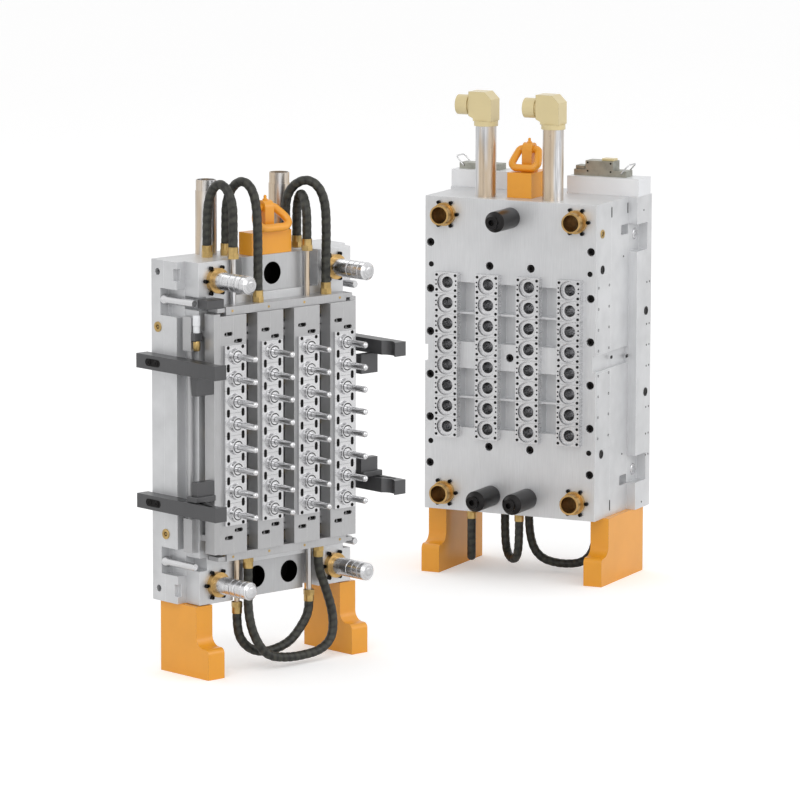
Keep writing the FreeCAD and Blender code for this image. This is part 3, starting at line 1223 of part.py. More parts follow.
build()
doc.removeObject(probe.Name)
doc.recompute()
start_places = {label: thing.Placement.copy() for label, half, thing in NODES}
set_down(0, 0)
doc.recompute()
reach = FreeCAD.BoundBox()
for label, half, thing in NODES:
    if "hose_" not in label or label.endswith("fittings"):
        reach.add(thing.Shape.BoundBox)
set_down(-reach.Center.x, -reach.Center.y)
doc.recompute()
print(f"shift {-reach.Center.x:.4f} {-reach.Center.y:.4f}")

for thing in doc.Objects:
    if "Invalid" in thing.State or "Error" in thing.State:
        raise RuntimeError(f"{thing.Label} could not be worked out")
os.makedirs("parts", exist_ok=True)
for label, half, thing in NODES:
    shape = thing.Shape
    if shape.isNull() or not shape.isValid() or not shape.Solids:
        raise RuntimeError(f"{label} has no valid solid")
    shape.exportStep(f"parts/{label}.step")
    print(f"{label}: {len(shape.Solids)} solids, {shape.Volume / 1e3:.1f} cm3")
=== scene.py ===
"""Preform mould: finishes, hoses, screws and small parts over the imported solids, in metres."""
import math

import bmesh
import bpy
from mathutils import Matrix, Vector
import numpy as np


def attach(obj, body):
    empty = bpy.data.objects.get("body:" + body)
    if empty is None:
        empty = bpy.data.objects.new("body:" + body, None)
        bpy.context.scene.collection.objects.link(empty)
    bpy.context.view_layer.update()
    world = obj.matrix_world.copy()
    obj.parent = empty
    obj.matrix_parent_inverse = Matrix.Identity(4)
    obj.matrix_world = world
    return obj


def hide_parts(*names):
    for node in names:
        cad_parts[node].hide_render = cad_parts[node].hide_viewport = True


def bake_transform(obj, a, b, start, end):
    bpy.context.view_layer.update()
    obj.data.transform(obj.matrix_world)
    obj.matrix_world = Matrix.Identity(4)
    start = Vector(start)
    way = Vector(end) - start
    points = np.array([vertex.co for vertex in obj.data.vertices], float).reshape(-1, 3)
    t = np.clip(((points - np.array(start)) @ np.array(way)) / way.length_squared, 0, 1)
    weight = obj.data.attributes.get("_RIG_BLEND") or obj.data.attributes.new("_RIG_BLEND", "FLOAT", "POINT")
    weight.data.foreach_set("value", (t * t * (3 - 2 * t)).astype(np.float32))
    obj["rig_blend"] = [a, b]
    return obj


bl_info = {
    "name": "Preform mould",
    "version": (1, 0, 0),
    "blender": (4, 5, 0),
    "location": "View3D > Sidebar > Mould",
    "description": "Finishes, hoses and small parts of a 32-cavity preform mould",
    "category": "Object",
}

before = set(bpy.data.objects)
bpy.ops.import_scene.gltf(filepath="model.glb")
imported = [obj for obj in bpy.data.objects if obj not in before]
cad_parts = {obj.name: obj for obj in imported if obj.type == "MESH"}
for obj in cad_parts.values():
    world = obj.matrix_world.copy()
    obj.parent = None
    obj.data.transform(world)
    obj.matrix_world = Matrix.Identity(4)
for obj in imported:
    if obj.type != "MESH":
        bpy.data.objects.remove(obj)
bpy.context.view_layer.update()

MM = 0.001
ROWS = 8
COLUMNS = 4
ROW_PITCH = 50
COLUMN_PITCH = 107
ROW_Z = [(row - (ROWS - 1) / 2) * ROW_PITCH for row in range(ROWS)]
COLUMN_X = [(column - (COLUMNS - 1) / 2) * COLUMN_PITCH for column in range(COLUMNS)]
GRID = [(x, z) for x in COLUMN_X for z in ROW_Z]
SIDES = (-1, 1)

# Places in a half's own axes, in millimetres: the sides of its plates and the guide pins' middles.
PLATE_SIDE = 247
CAVITY_SIDE = 224
CAM_BAR_SIDE = 279
PIN_X = 172
PIN_Z = 338
PIN_ENDS = [(side * PIN_X, level * PIN_Z) for side in SIDES for level in SIDES]

# Degrees that the cavity half's grain is turned, and the angles past which edges stay sharp.
CAVITY_TURN = 68
SHARP_ANGLE = math.radians(35)
WRAP_SHARP_ANGLE = math.radians(50)

# Points on a hose's curve from one control point to the next, and steps round a quarter of it.
CURVE_STEPS = 24
ROUND_STEPS = 5

# Each half has its own axes: X across its plates, Y back from the front, Z up from its grid's middle.
CORE_HALF = Matrix.Translation((-0.5647784, -0.3456506, 0.54))
CAVITY_HALF = (Matrix.Translation((0.4842216, 0.0733494, 0.54))
               @ Matrix.Rotation(math.radians(-CAVITY_TURN), 4, "Z"))

# Turns that lay a shape drawn on the floor, its face up, against a face that looks along an axis.
FACING = {
    "-y": Matrix.Rotation(math.radians(90), 4, "X"),
    "-x": Matrix.Rotation(math.radians(-90), 4, "Y"),
    "+x": Matrix.Rotation(math.radians(90), 4, "Y"),
    "+z": Matrix.Identity(4),
}


def metres(name, default, description):
    return bpy.props.FloatProperty(name=name, default=default, description=description, unit="LENGTH",
                                   subtype="DISTANCE", precision=4)


def colour(name, default, description):
    return bpy.props.FloatVectorProperty(name=name, default=default, description=description, size=3,
                                         min=0, max=1, subtype="COLOR")


class MouldSizes(bpy.types.PropertyGroup):
    """Sizes of the small parts."""
    hose: metres("Hose", 0.021, "Diameter of the water hoses")
    wrap_pitch: metres("Wrap pitch", 0.017, "Distance from one turn of a hose's spiral wrap to the next")
    wrap_depth: metres("Wrap depth", 0.0009, "How far the turns of the spiral wrap stand out")
    ring_screw: metres("Neck ring screw", 0.0066, "Diameter of the screws that hold the neck rings")
    insert_screw: metres("Insert screw", 0.0072, "Diameter of the screws that hold the cavity inserts")
    plate_screw: metres("Plate screw", 0.0165, "Diameter of the screws in the cavity plate")
    edge: metres("Edge", 0.0012, "Width of the softened edges on the plates")


class MouldColours(bpy.types.PropertyGroup):
    """Colours of the finishes."""
    plate: colour("Plates", (0.64, 0.645, 0.655), "Ground steel of the plates")
    slide: colour("Slides", (0.47, 0.47, 0.475), "Ground steel of the slides and rails")
    neck: colour("Neck rings", (0.68, 0.68, 0.69), "Polished steel of the neck rings and inserts")
    core: colour("Cores", (0.74, 0.74, 0.75), "Mirror-polished steel of the cores")
    cam: colour("Cam bars", (0.105, 0.105, 0.108), "Dark hardened steel of the cam bars")
    black: colour("Black steel", (0.022, 0.021, 0.021), "Blackened steel of the locating pins and screws")
    strip: colour("Wear strips", (0.30, 0.26, 0.20), "Worn bronze of the strips behind the slides")
    bronze: colour("Bronze", (0.66, 0.42, 0.16), "Turned bronze of the guide bushings")
    brass: colour("Brass", (0.62, 0.43, 0.17), "Brass of the hose fittings and plugs")
    hose: colour("Hoses", (0.010, 0.010, 0.007), "Spiral wrap of the hoses")
    orange: colour("Orange paint", (0.84, 0.35, 0.018), "Enamel of the feet and lifting gear")
    elbow: colour("Elbow paint", (0.70, 0.58, 0.31), "Pale yellow of the pipe elbows")
    stain: colour("Pipe stains", (0.62, 0.47, 0.30), "Tan stains down the water pipes")
    box: colour("Boxes", (0.80, 0.81, 0.83), "White enamel of the junction boxes")
    housing: colour("Connectors", (0.42, 0.42, 0.37), "Die-cast connector housings")
    floor: colour("Floor", (0.9, 0.9, 0.9), "Pale studio floor")


def sizes():
    return bpy.context.scene.mould_sizes


def colours():
    return bpy.context.scene.mould_colours


class Wire:
    """One value, colour or vector on its way through a finish's nodes, with arithmetic on it."""

    def __init__(self, finish, socket):
        self.finish = finish
        self.socket = socket

    def maths(self, operation, *values):
        return self.finish.node("ShaderNodeMath", {"operation": operation}, dict(enumerate(values)))

    def __add__(self, other):
        return self.maths("ADD", self, other)

    def __radd__(self, other):
        return self.maths("ADD", other, self)

    def __sub__(self, other):
        return self.maths("SUBTRACT", self, other)

    def __rsub__(self, other):
        return self.maths("SUBTRACT", other, self)

    def __mul__(self, other):
        return self.maths("MULTIPLY", self, other)

    def __rmul__(self, other):
        return self.maths("MULTIPLY", other, self)

    def clamped(self):
        return self.finish.node("ShaderNodeClamp", {}, {0: self})


class Finish:
    """A material made of nodes."""

    def __init__(self, name):
        self.material = bpy.data.materials.new(name)
        self.material.use_nodes = True
        self.tree = self.material.node_tree
        self.shader = self.tree.nodes["Principled BSDF"]

    def node(self, kind, settings, values, output=0):
        """A node with its settings made first, then its sockets filled or linked."""
        made = self.tree.nodes.new(kind)
        for key, value in settings.items():
            if key == "stops":
                ramp = made.color_ramp
                while len(ramp.elements) < len(value):
                    ramp.elements.new(0.5)
                for element, (position, shade) in zip(ramp.elements, value):
                    element.position = position
                    element.color = (shade, shade, shade, 1)
            else:
                setattr(made, key, value)
        for key, value in values.items():
            self.fill(made.inputs[key], value)
        return Wire(self, made.outputs[output])

    def fill(self, socket, value):
        if isinstance(value, Wire):
            self.tree.links.new(value.socket, socket)
        elif socket.type == "RGBA":
            socket.default_value = (*value[:3], 1)
        else:
            socket.default_value = value

    def set(self, **values):
        """The shader's own sockets, their names written with underscores."""
        for key, value in values.items():
            self.fill(self.shader.inputs[key.replace("_", " ")], value)

    def place(self, turn=0, stretch=(1, 1, 1)):
        """Object coordinates, turned in degrees about the vertical into a half's axes, then stretched."""
        here = self.node("ShaderNodeTexCoord", {}, {}, "Object")
        turned = self.node("ShaderNodeMapping", {}, {"Vector": here, "Rotation": (0, 0, math.radians(turn))})
        return self.node("ShaderNodeMapping", {}, {"Vector": turned, "Scale": stretch})

    def noise(self, where, scale, detail=3, rough=0.5):
        return self.node("ShaderNodeTexNoise", {}, {"Vector": where, "Scale": scale, "Detail": detail,
                                                   "Roughness": rough})

    def ramp(self, value, *stops):
        """A grey ramp whose stops are pairs of a position and a brightness."""
        return self.node("ShaderNodeValToRGB", {"stops": stops}, {0: value})

    def mix(self, share, first, second):
        """The first colour where the share is 0, the second where it is 1."""
        return self.node("ShaderNodeMix", {"data_type": "RGBA"}, {0: share, 6: first, 7: second}, 2)

    def bump(self, height, distance, strength=1, normal=None):
        values = {"Height": height, "Distance": distance, "Strength": strength}
        if normal:
            values["Normal"] = normal
        return self.node("ShaderNodeBump", {}, values)

    def soft_edges(self, width):
        """The normal of the surface with its edges rounded, and how much of an edge is near."""
        rounded = self.node("ShaderNodeBevel", {"samples": 4}, {"Radius": width})
        flat = self.node("ShaderNodeNewGeometry", {}, {}, "Normal")
        along = self.node("ShaderNodeVectorMath", {"operation": "DOT_PRODUCT"},
                          {0: rounded, 1: flat}, "Value")
        return rounded, (1 - along).clamped()


def shade(tint, factor):
    """A colour lightened or darkened."""
    return tuple(min(1, part * factor) for part in tint)


# Finishes.
def steel(name, tint, turn=0, grain=(40, 1, 1), rough=0.4, metal=0.6, edges=True):
    """Ground steel: grinding lines, faint clouds of handling, and lighter edges that are partly edge wear and
    partly painted highlight.
    """
    finish = Finish(name)
    lines = finish.noise(finish.place(turn, grain), scale=24, detail=2)
    plain = finish.place(turn)
    cloud = finish.noise(plain, scale=4, detail=4, rough=0.6)
    speck = finish.noise(plain, scale=300, detail=2)
    tone = finish.ramp(cloud * 0.65 + lines * 0.35, (0.36, 0), (0.64, 1))
    tinted = finish.mix(tone, shade(tint, 0.88), shade(tint, 1.06))
    normal = None
    if edges:
        normal, near = finish.soft_edges(sizes().edge)
        # Edges lightened in the colour: partly edge wear, partly a painted highlight.
        weathering_and_painted_light = finish.ramp(near * (0.6 + speck * 0.8), (0.03, 0), (0.22, 1))
        tinted = finish.mix(weathering_and_painted_light, tinted, shade(tint, 1.45))
    finish.set(Base_Color=tinted, Metallic=metal, Roughness=rough - 0.06 + speck * 0.06 + lines * 0.08,
               Normal=finish.bump(lines * 0.7 + speck * 0.3, distance=0.00004, strength=0.5,
                                  normal=normal))
    return finish.material


def polished(name, tint, turn=0, rough=0.16, grain=(30, 1, 30), stain=None):
    """Polished steel with fine streaks along its length, and tan stains where a stain is given."""
    finish = Finish(name)
    streaks = finish.noise(finish.place(turn, grain), scale=14, detail=2)
    spots = finish.noise(finish.place(turn), scale=120, detail=3)
    tone = finish.ramp(streaks, (0.35, 0), (0.65, 1))
    tinted = finish.mix(tone, shade(tint, 0.72), shade(tint, 1.12))
    if stain:
        streaked = finish.noise(finish.place(turn, stretch=(3, 3, 0.3)), scale=9, detail=2)
        tinted = finish.mix(finish.ramp(streaked, (0.46, 0), (0.6, 0.75)), tinted, stain)
    finish.set(Base_Color=tinted, Metallic=1.0, Roughness=rough + spots * 0.12,
               Normal=finish.bump(streaks, distance=0.00002, strength=0.3))
    return finish.material


def turned_metal(name, tint, turn=0, rough=0.24, dull=0.6):
    """Bronze, brass or blackened steel off the lathe, with rings of tool marks, dull patches, and edges
    lightened as edge wear and painted highlight.
    """
    finish = Finish(name)
    marks = finish.noise(finish.place(turn, stretch=(2, 60, 2)), scale=30, detail=2)
    patch = finish.noise(finish.place(turn), scale=45, detail=4, rough=0.6)
    normal, near = finish.soft_edges(width=0.0006)
    tone = finish.ramp(patch, (0.35, 0), (0.7, 1))
    tinted = finish.mix(tone, tint, shade(tint, dull))
    # Edges lightened in the colour: partly edge wear, partly a painted highlight.
    weathering_and_painted_light = finish.ramp(near, (0.05, 0), (0.35, 1))
    finish.set(Base_Color=finish.mix(weathering_and_painted_light, tinted, shade(tint, 1.5)), Metallic=1.0,
               Roughness=rough + patch * 0.2,
               Normal=finish.bump(marks, distance=0.00003, strength=0.4, normal=normal))
    return finish.material


def enamel(name, tint, rough=0.34, chips=(0.12, 0.10, 0.09)):
    """Sprayed enamel with orange peel, faint stains and small chips along its edges."""
    finish = Finish(name)
    plain = finish.place()
    stain = finish.noise(plain, scale=7, detail=4, rough=0.6)
    peel = finish.noise(plain, scale=420, detail=2)
    speck = finish.noise(plain, scale=160, detail=4, rough=0.7)
    normal, near = finish.soft_edges(sizes().edge)
    tone = finish.ramp(stain, (0.3, 0), (0.75, 1))
    tinted = finish.mix(tone, tint, shade(tint, 0.88))
    lit = finish.mix(finish.ramp(near, (0.04, 0), (0.25, 1)), tinted, shade(tint, 1.12))
    chipped = finish.ramp(near * speck, (0.14, 0), (0.17, 1))
    finish.set(Base_Color=finish.mix(chipped, lit, chips), Roughness=rough + stain * 0.1,
               Normal=finish.bump(peel, distance=0.00005, strength=0.35, normal=normal),
               Coat_Weight=0.3, Coat_Roughness=0.15)
    return finish.material


def wrap_rubber(name, tint):
    """The hoses' spiral wrap: olive black with dust, paler on the crowns as painted highlight and darker in
    the grooves as painted shade.
    """
    finish = Finish(name)
    crown = finish.node("ShaderNodeAttribute", {"attribute_name": "crown"}, {}, "Fac")
    plain = finish.place()
    dust = finish.noise(plain, scale=70, detail=5, rough=0.7)
    grit = finish.noise(plain, scale=700, detail=2)
    # Dust, plus the wrap's crown height painted as highlight on the crowns and shade in the grooves.
    weathering_and_painted_light = finish.ramp(dust * 0.7 + crown * 0.25, (0.45, 0), (0.72, 1))
    pale = tuple(part * 4 + 0.008 for part in tint)
    finish.set(Base_Color=finish.mix(weathering_and_painted_light, shade(tint, 0.7), pale), Roughness=0.34 + dust * 0.3,
               Normal=finish.bump(grit * 0.5 + dust * 0.5, distance=0.0003, strength=0.5))
    return finish.material


FINISHES = {}


def make_finishes():
    """Every finish, the core half's and the cavity half's apart where their grain runs another way."""
    tint = colours()
    FINISHES.update({
        "plate": steel("plate_ground", tint.plate),
        "hot_plate": steel("hot_plate_ground", shade(tint.plate, 1.06), CAVITY_TURN),
        "slide": steel("slide_ground", tint.slide, rough=0.38),
        "block": steel("centre_block_ground", shade(tint.plate, 0.82)),
        "neck": steel("neck_ring_polished", tint.neck, grain=(1, 1, 20), rough=0.24, metal=0.95,
                      edges=False),
        "insert": steel("insert_polished", tint.neck, CAVITY_TURN, grain=(1, 1, 20), rough=0.26,
                        metal=0.95, edges=False),
        "core": polished("core_mirror", tint.core),
        "pin": polished("leader_pin_ground", shade(tint.neck, 1.08), rough=0.2, grain=(1, 60, 1)),
        "cam": steel("cam_hardened", tint.cam, grain=(1, 30, 1), rough=0.36, metal=0.7),
        "black": turned_metal("blackened_steel", tint.black, CAVITY_TURN, rough=0.22, dull=1.6),
        # Blackened screw heads, and the dark rings, oblongs and liners painted as the shade inside holes,
        # slits and counterbores.
        "hole": turned_metal("blackened_screw_and_hole_shade", shade(tint.black, 0.7), rough=0.3, dull=1.5),
        "bronze": turned_metal("bronze_turned", tint.bronze),
        "strip": turned_metal("bronze_worn", tint.strip, rough=0.4),
        "brass": turned_metal("brass_turned", tint.brass),
        "pipe": polished("pipe_stainless", shade(tint.neck, 1.05), CAVITY_TURN, rough=0.24,
                         grain=(20, 20, 1), stain=tint.stain),
        "hose": wrap_rubber("hose_wrap", tint.hose),
        "orange": enamel("orange_enamel", tint.orange),
        "elbow": enamel("elbow_passivated", tint.elbow, rough=0.3),
        "box": enamel("box_enamel", tint.box, rough=0.42, chips=(0.4, 0.4, 0.4)),
        "housing": turned_metal("connector_cast", tint.housing, CAVITY_TURN, rough=0.34, dull=0.7),
        "wire": polished("latch_plated", shade(tint.core, 0.9), CAVITY_TURN, rough=0.2),
    })


NODE_FINISH = {
    "plate": ("core_backing_plate", "core_plate", "stripper_plate"),
    "block": ("centre_blocks",),
    "hot_plate": ("cavity_plate", "manifold_plate", "hot_backing_plate", "hot_runner", "locating_ring"),
    "slide": ("left_slides", "right_slides", "left_tie_bar", "right_tie_bar", "guide_rails",
              "side_manifolds"),
    "neck": ("left_neck_rings", "right_neck_rings"),
    "insert": ("upper_cavity_inserts", "lower_cavity_inserts"),
    "core": ("upper_cores", "lower_cores", "cooling_tubes"),
    "pin": ("leader_pins", "push_rods"),
    "cam": ("cam_bars", "left_cam_followers", "right_cam_followers"),
    "black": ("locating_pins",),
    "bronze": ("stripper_bushings", "cavity_bushings"),
    "strip": ("wear_strips",),
    "brass": ("core_hose_fittings", "stripper_hose_fittings", "hot_hose_fittings"),
    "pipe": ("core_water_pipes", "hot_water_pipes", "stub_tubes"),
    "orange": ("core_feet", "cavity_feet", "core_lifting_block", "hot_lifting_block", "core_swivel",
               "core_lift_ring", "hot_swivel", "hot_lift_ring"),
    "elbow": ("pipe_elbows",),
    "box": ("junction_boxes",),
    "housing": ("connector_housings",),
    "wire": ("left_latch", "right_latch"),
}


# Tools for new pieces.
def shape_of(build):
    """The mesh of a finished small shape, its normals outwards."""
    bmesh.ops.recalc_face_normals(build, faces=build.faces)
    mesh = bpy.data.meshes.new("shape")
    build.to_mesh(mesh)
    build.free()
    return mesh


def raise_face(build, face, height):
    """Pull a face out of its surface, or push it in, and give it back."""
    # Extruding a face that has neighbours leaves it behind as a lid inside, so it goes.
    joined = any(len(edge.link_faces) > 1 for edge in face.edges)
    made = bmesh.ops.extrude_face_region(build, geom=[face])["geom"]
    corners = [part for part in made if isinstance(part, bmesh.types.BMVert)]
    bmesh.ops.translate(build, verts=corners, vec=(0, 0, height))
    if joined:
        bmesh.ops.delete(build, geom=[face], context="FACES_ONLY")
    return next(part for part in made if isinstance(part, bmesh.types.BMFace))


def soften(build, edges, offset):
    """Break edges with a flat of the given width."""
    bmesh.ops.bevel(build, geom=edges, offset=offset, affect="EDGES", segments=1, profile=0.5,
                    material=-1)


def rim(build, height, reach):
    """The edges round the top of a small turned shape, past the reach from its axis."""
    return [edge for edge in build.edges
            if all(corner.co.z > height * 0.9 and corner.co.xy.length > reach for corner in edge.verts)]


def screw(diameter, height, sides=12):
    """A cap screw's head with a hexagon socket, standing on Z = 0."""
    build = bmesh.new()
    radius = diameter / 2
    # How far the middle of a hexagon's side is from its middle, as a share of its corners' reach.
    flat = 0.87
    bmesh.ops.create_circle(build, cap_ends=True, segments=sides, radius=radius)
    top = raise_face(build, build.faces[:][0], height)
    bmesh.ops.inset_region(build, faces=[top], thickness=radius * 0.45)
    for corner in top.verts[:][1::2]:
        bmesh.ops.scale(build, verts=[corner], vec=(flat, flat, 1))
    raise_face(build, top, -height * 0.6)
    soften(build, rim(build, height, radius * 0.95), radius * 0.1)
    return shape_of(build)


def plug(diameter, height, bore, depth, sides=24):
    """A round plug or bush with a bore, standing on Z = 0."""
    build = bmesh.new()
    bmesh.ops.create_circle(build, cap_ends=True, segments=sides, radius=diameter / 2)
    top = raise_face(build, build.faces[:][0], height)
    bmesh.ops.inset_region(build, faces=[top], thickness=(diameter - bore) / 2)
    raise_face(build, top, -depth)
    soften(build, rim(build, height, diameter * 0.48), min(height, diameter) * 0.08)
    return shape_of(build)


def block(length, width, height, edge):
    """A block with softened edges, standing on Z = 0 about the middle."""
    build = bmesh.new()
    bmesh.ops.create_cube(build, size=1)
    bmesh.ops.scale(build, verts=build.verts, vec=(length, width, height))
    bmesh.ops.translate(build, verts=build.verts, vec=(0, 0, height / 2))
    soften(build, build.edges[:], edge)
    return shape_of(build)


def oblong(length, width, height, inset, depth):
    """A bar with round ends standing on Z = 0, its top sunk inside a rim."""
    build = bmesh.new()
    bmesh.ops.create_circle(build, cap_ends=True, segments=20, radius=width / 2)
    for corner in build.verts:
        if abs(corner.co.x) > width * 0.01:
            corner.co.x += math.copysign((length - width) / 2, corner.co.x)
    top = raise_face(build, build.faces[:][0], height)
    bmesh.ops.inset_region(build, faces=[top], thickness=inset)
    raise_face(build, top, -depth)
    return shape_of(build)


def lathe(profile, sides=32):
    """A turned shape about Z from a line of radius and height pairs."""
    build = bmesh.new()
    line = [build.verts.new((radius, 0, height)) for radius, height in profile]
    edges = [build.edges.new(pair) for pair in zip(line, line[1:])]
    bmesh.ops.spin(build, geom=line + edges, cent=(0, 0, 0), axis=(0, 0, 1), angle=2 * math.pi,
                   steps=sides, use_merge=True)
    bmesh.ops.remove_doubles(build, verts=build.verts, dist=0.001)
    return shape_of(build)


class Piece:
    """A piece under construction in one half's own axes, in millimetres."""

    def __init__(self):
        self.build = bmesh.new()

    def add(self, shape, facing, x, y, z, turn=0):
        """Add a copy of a small shape against a face that looks the way named, turned in degrees."""
        copy = shape.copy()
        place = Matrix.Translation((x, y, z)) @ FACING[facing] @ Matrix.Rotation(math.radians(turn), 4, "Z")
        copy.transform(place)
        self.build.from_mesh(copy)
        bpy.data.meshes.remove(copy)

    def finish(self, name, half, body, finish, slot):
        """Turn it into an object at the origin, riding on its body."""
        mesh = bpy.data.meshes.new(name)
        self.build.to_mesh(mesh)
        self.build.free()
        mesh.transform(half @ Matrix.Scale(MM, 4))
        mesh.shade_smooth()
        mesh.set_sharp_from_angle(angle=SHARP_ANGLE)
        mesh.materials.append(FINISHES[finish])
        made = bpy.data.objects.new(name, mesh)
        bpy.context.collection.objects.link(made)
        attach(made, body)


# Each hose's length, and its route in its half's own axes through the points of its solid's run, in
# metres.
CORE_HOSES = {
    "hose_a": (0.3048, [
        (-0.141, 0.126, 0.406), (-0.141, 0.126, 0.454), (-0.14, 0.123, 0.502), (-0.137, 0.11, 0.534),
        (-0.135, 0.088, 0.546), (-0.132, 0.067, 0.534), (-0.129, 0.053, 0.502), (-0.129, 0.052, 0.458),
        (-0.129, 0.052, 0.4083)]),
    "hose_b": (0.4157, [
        (-0.087, 0.126, 0.406), (-0.087, 0.126, 0.452), (-0.086, 0.125, 0.498), (-0.082, 0.11, 0.532),
        (-0.077, 0.084, 0.549), (-0.071, 0.058, 0.536), (-0.068, 0.044, 0.498), (-0.067, 0.041, 0.426),
        (-0.066, 0.042, 0.362), (-0.066, 0.042, 0.3083)]),
    "hose_c": (0.4003, [
        (0.088, 0.126, 0.406), (0.088, 0.126, 0.452), (0.089, 0.125, 0.494), (0.097, 0.11, 0.522),
        (0.111, 0.084, 0.537), (0.125, 0.058, 0.524), (0.134, 0.044, 0.486), (0.134, 0.041, 0.42),
        (0.133, 0.042, 0.36), (0.133, 0.042, 0.3083)]),
    "hose_d": (0.2323, [
        (0.121, 0.126, 0.406), (0.121, 0.126, 0.44), (0.12, 0.124, 0.472), (0.112, 0.108, 0.497),
        (0.103, 0.089, 0.505), (0.094, 0.07, 0.496), (0.086, 0.053, 0.47), (0.086, 0.052, 0.436),
        (0.086, 0.052, 0.4083)]),
    "hose_e": (0.327, [
        (-0.121, 0.052, -0.4083), (-0.121, 0.052, -0.4343), (-0.113, 0.052, -0.4663), (-0.087, 0.05, -0.494),
        (-0.045, 0.051, -0.507), (-0.001, 0.052, -0.504), (0.039, 0.053, -0.492), (0.071, 0.053, -0.462),
        (0.091, 0.052, -0.4323), (0.091, 0.052, -0.4083)]),
    "hose_f": (0.6059, [
        (-0.097, 0.042, -0.3083), (-0.097, 0.042, -0.3523), (-0.107, 0.03, -0.4083), (-0.099, 0.02, -0.4603),
        (-0.067, 0.016, -0.506), (-0.015, 0.014, -0.518), (0.036, 0.014, -0.52), (0.096, 0.016, -0.516),
        (0.136, 0.022, -0.492), (0.144, 0.03, -0.44), (0.128, 0.038, -0.38), (0.11, 0.042, -0.3343),
        (0.11, 0.042, -0.3083)]),
}
CAVITY_HOSES = {
    "hot_hose_a": (0.2478, [
        (-0.121, 0.058, -0.406), (-0.121, 0.058, -0.458), (-0.12604, 0.06892, -0.498), (-0.139, 0.097, -0.51),
        (-0.15196, 0.12508, -0.498), (-0.157, 0.136, -0.458), (-0.157, 0.136, -0.406)]),
    "hot_hose_b": (0.2646, [
        (0, 0.07, -0.406), (0, 0.07, -0.458), (-0.01036, 0.0812, -0.498), (-0.037, 0.11, -0.51),
        (-0.06364, 0.1388, -0.498), (-0.074, 0.15, -0.458), (-0.074, 0.15, -0.406)]),
    "hot_hose_c": (0.3446, [
        (-0.02, 0.172, -0.406), (-0.02, 0.172, -0.458), (0.0052, 0.172, -0.512), (0.07, 0.172, -0.524),
        (0.1348, 0.172, -0.512), (0.16, 0.172, -0.458), (0.16, 0.172, -0.406)]),
}
# The upper hoses start on the core plate and end on the stripper plate, which comes forward.
CROSSING = ("hose_a", "hose_b", "hose_c", "hose_d")


def route_curve(name, points, radius=0):
    """The mesh of a smooth curve with a hose's route as its control points: a line, or a tube."""
    curve = bpy.data.curves.new(name, "CURVE")
    curve.dimensions = "3D"
    curve.resolution_u = CURVE_STEPS
    curve.bevel_depth = radius
    curve.bevel_resolution = ROUND_STEPS
    spline = curve.splines.new("NURBS")
    spline.points.add(len(points) - 1)
    for point, place in zip(spline.points, points):
        point.co = (*place, 1)
    spline.order_u = 3
    spline.use_endpoint_u = True
    made = bpy.data.objects.new(name, curve)
    bpy.context.collection.objects.link(made)
    bpy.context.view_layer.update()
    mesh = bpy.data.meshes.new_from_object(made)
    bpy.data.objects.remove(made)
    bpy.data.curves.remove(curve)
    return mesh


def hose(node, length, points, half):
    """One hose in its spiral wrap, along its route's own curve."""
    route = [half @ Vector(point) for point in points]
    radius = sizes().hose / 2
    line = route_curve(node + "_line", route)
    path = [corner.co.copy() for corner in line.vertices]
    bpy.data.meshes.remove(line)
    mesh = route_curve(node + "_wrap", route, radius)
    around = len(mesh.vertices) // len(path)
    crown = mesh.attributes.new("crown", "FLOAT", "POINT")
    build = bmesh.new()
    build.from_mesh(mesh)
    build.verts.ensure_lookup_table()
    layer = build.verts.layers.float["crown"]
    travelled = 0
    # Rings of corners follow the path, and the wrap's crown climbs round them as a spiral.
    for ring, middle in enumerate(path):
        if ring:
            travelled += (middle - path[ring - 1]).length
        for step in range(around):
            corner = build.verts[ring * around + step]
            turns = travelled / sizes().wrap_pitch - step / around
            height = abs(math.sin(math.pi * turns)) ** 0.5
            outward = (corner.co - middle).normalized()
            corner.co = middle + outward * (radius - sizes().wrap_depth * (1 - height))
            # The crown height is also stored for the finish, which paints highlight on the crowns and shade
            # in the grooves.
            corner[layer] = height
    bmesh.ops.holes_fill(build, edges=[edge for edge in build.edges if edge.is_boundary], sides=0)
    bmesh.ops.recalc_face_normals(build, faces=build.faces)
    build.to_mesh(mesh)
    build.free()
    mesh.shade_smooth()
    mesh.set_sharp_from_angle(angle=WRAP_SHARP_ANGLE)
    mesh.materials.append(FINISHES["hose"])
    made = bpy.data.objects.new(node + "_wrapped", mesh)
    bpy.context.collection.objects.link(made)
    if node in CROSSING:
        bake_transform(made, "standing_mould", "stripper", start=route[0], end=route[-1])
    elif node in CORE_HOSES:
        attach(made, "stripper")
    else:
        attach(made, "standing_mould")
    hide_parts(node)


class MouldFinishes(bpy.types.Operator):
    """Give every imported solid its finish."""
    bl_idname = "mould.finishes"
    bl_label = "Finishes"

    def execute(self, context):
        make_finishes()
        for finish, nodes in NODE_FINISH.items():
            for name in nodes:
                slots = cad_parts[name].data.materials
                if not slots:
                    slots.append(None)
                for index in range(len(slots)):
                    slots[index] = FINISHES[finish]
        return {"FINISHED"}


class MouldHoses(bpy.types.Operator):
    """Build the nine water hoses."""
    bl_idname = "mould.hoses"
    bl_label = "Hoses"

    def execute(self, context):
        for hoses, half in ((CORE_HOSES, CORE_HALF), (CAVITY_HOSES, CAVITY_HALF)):
            for node, (length, points) in hoses.items():
                hose(node, length, points, half)
        return {"FINISHED"}


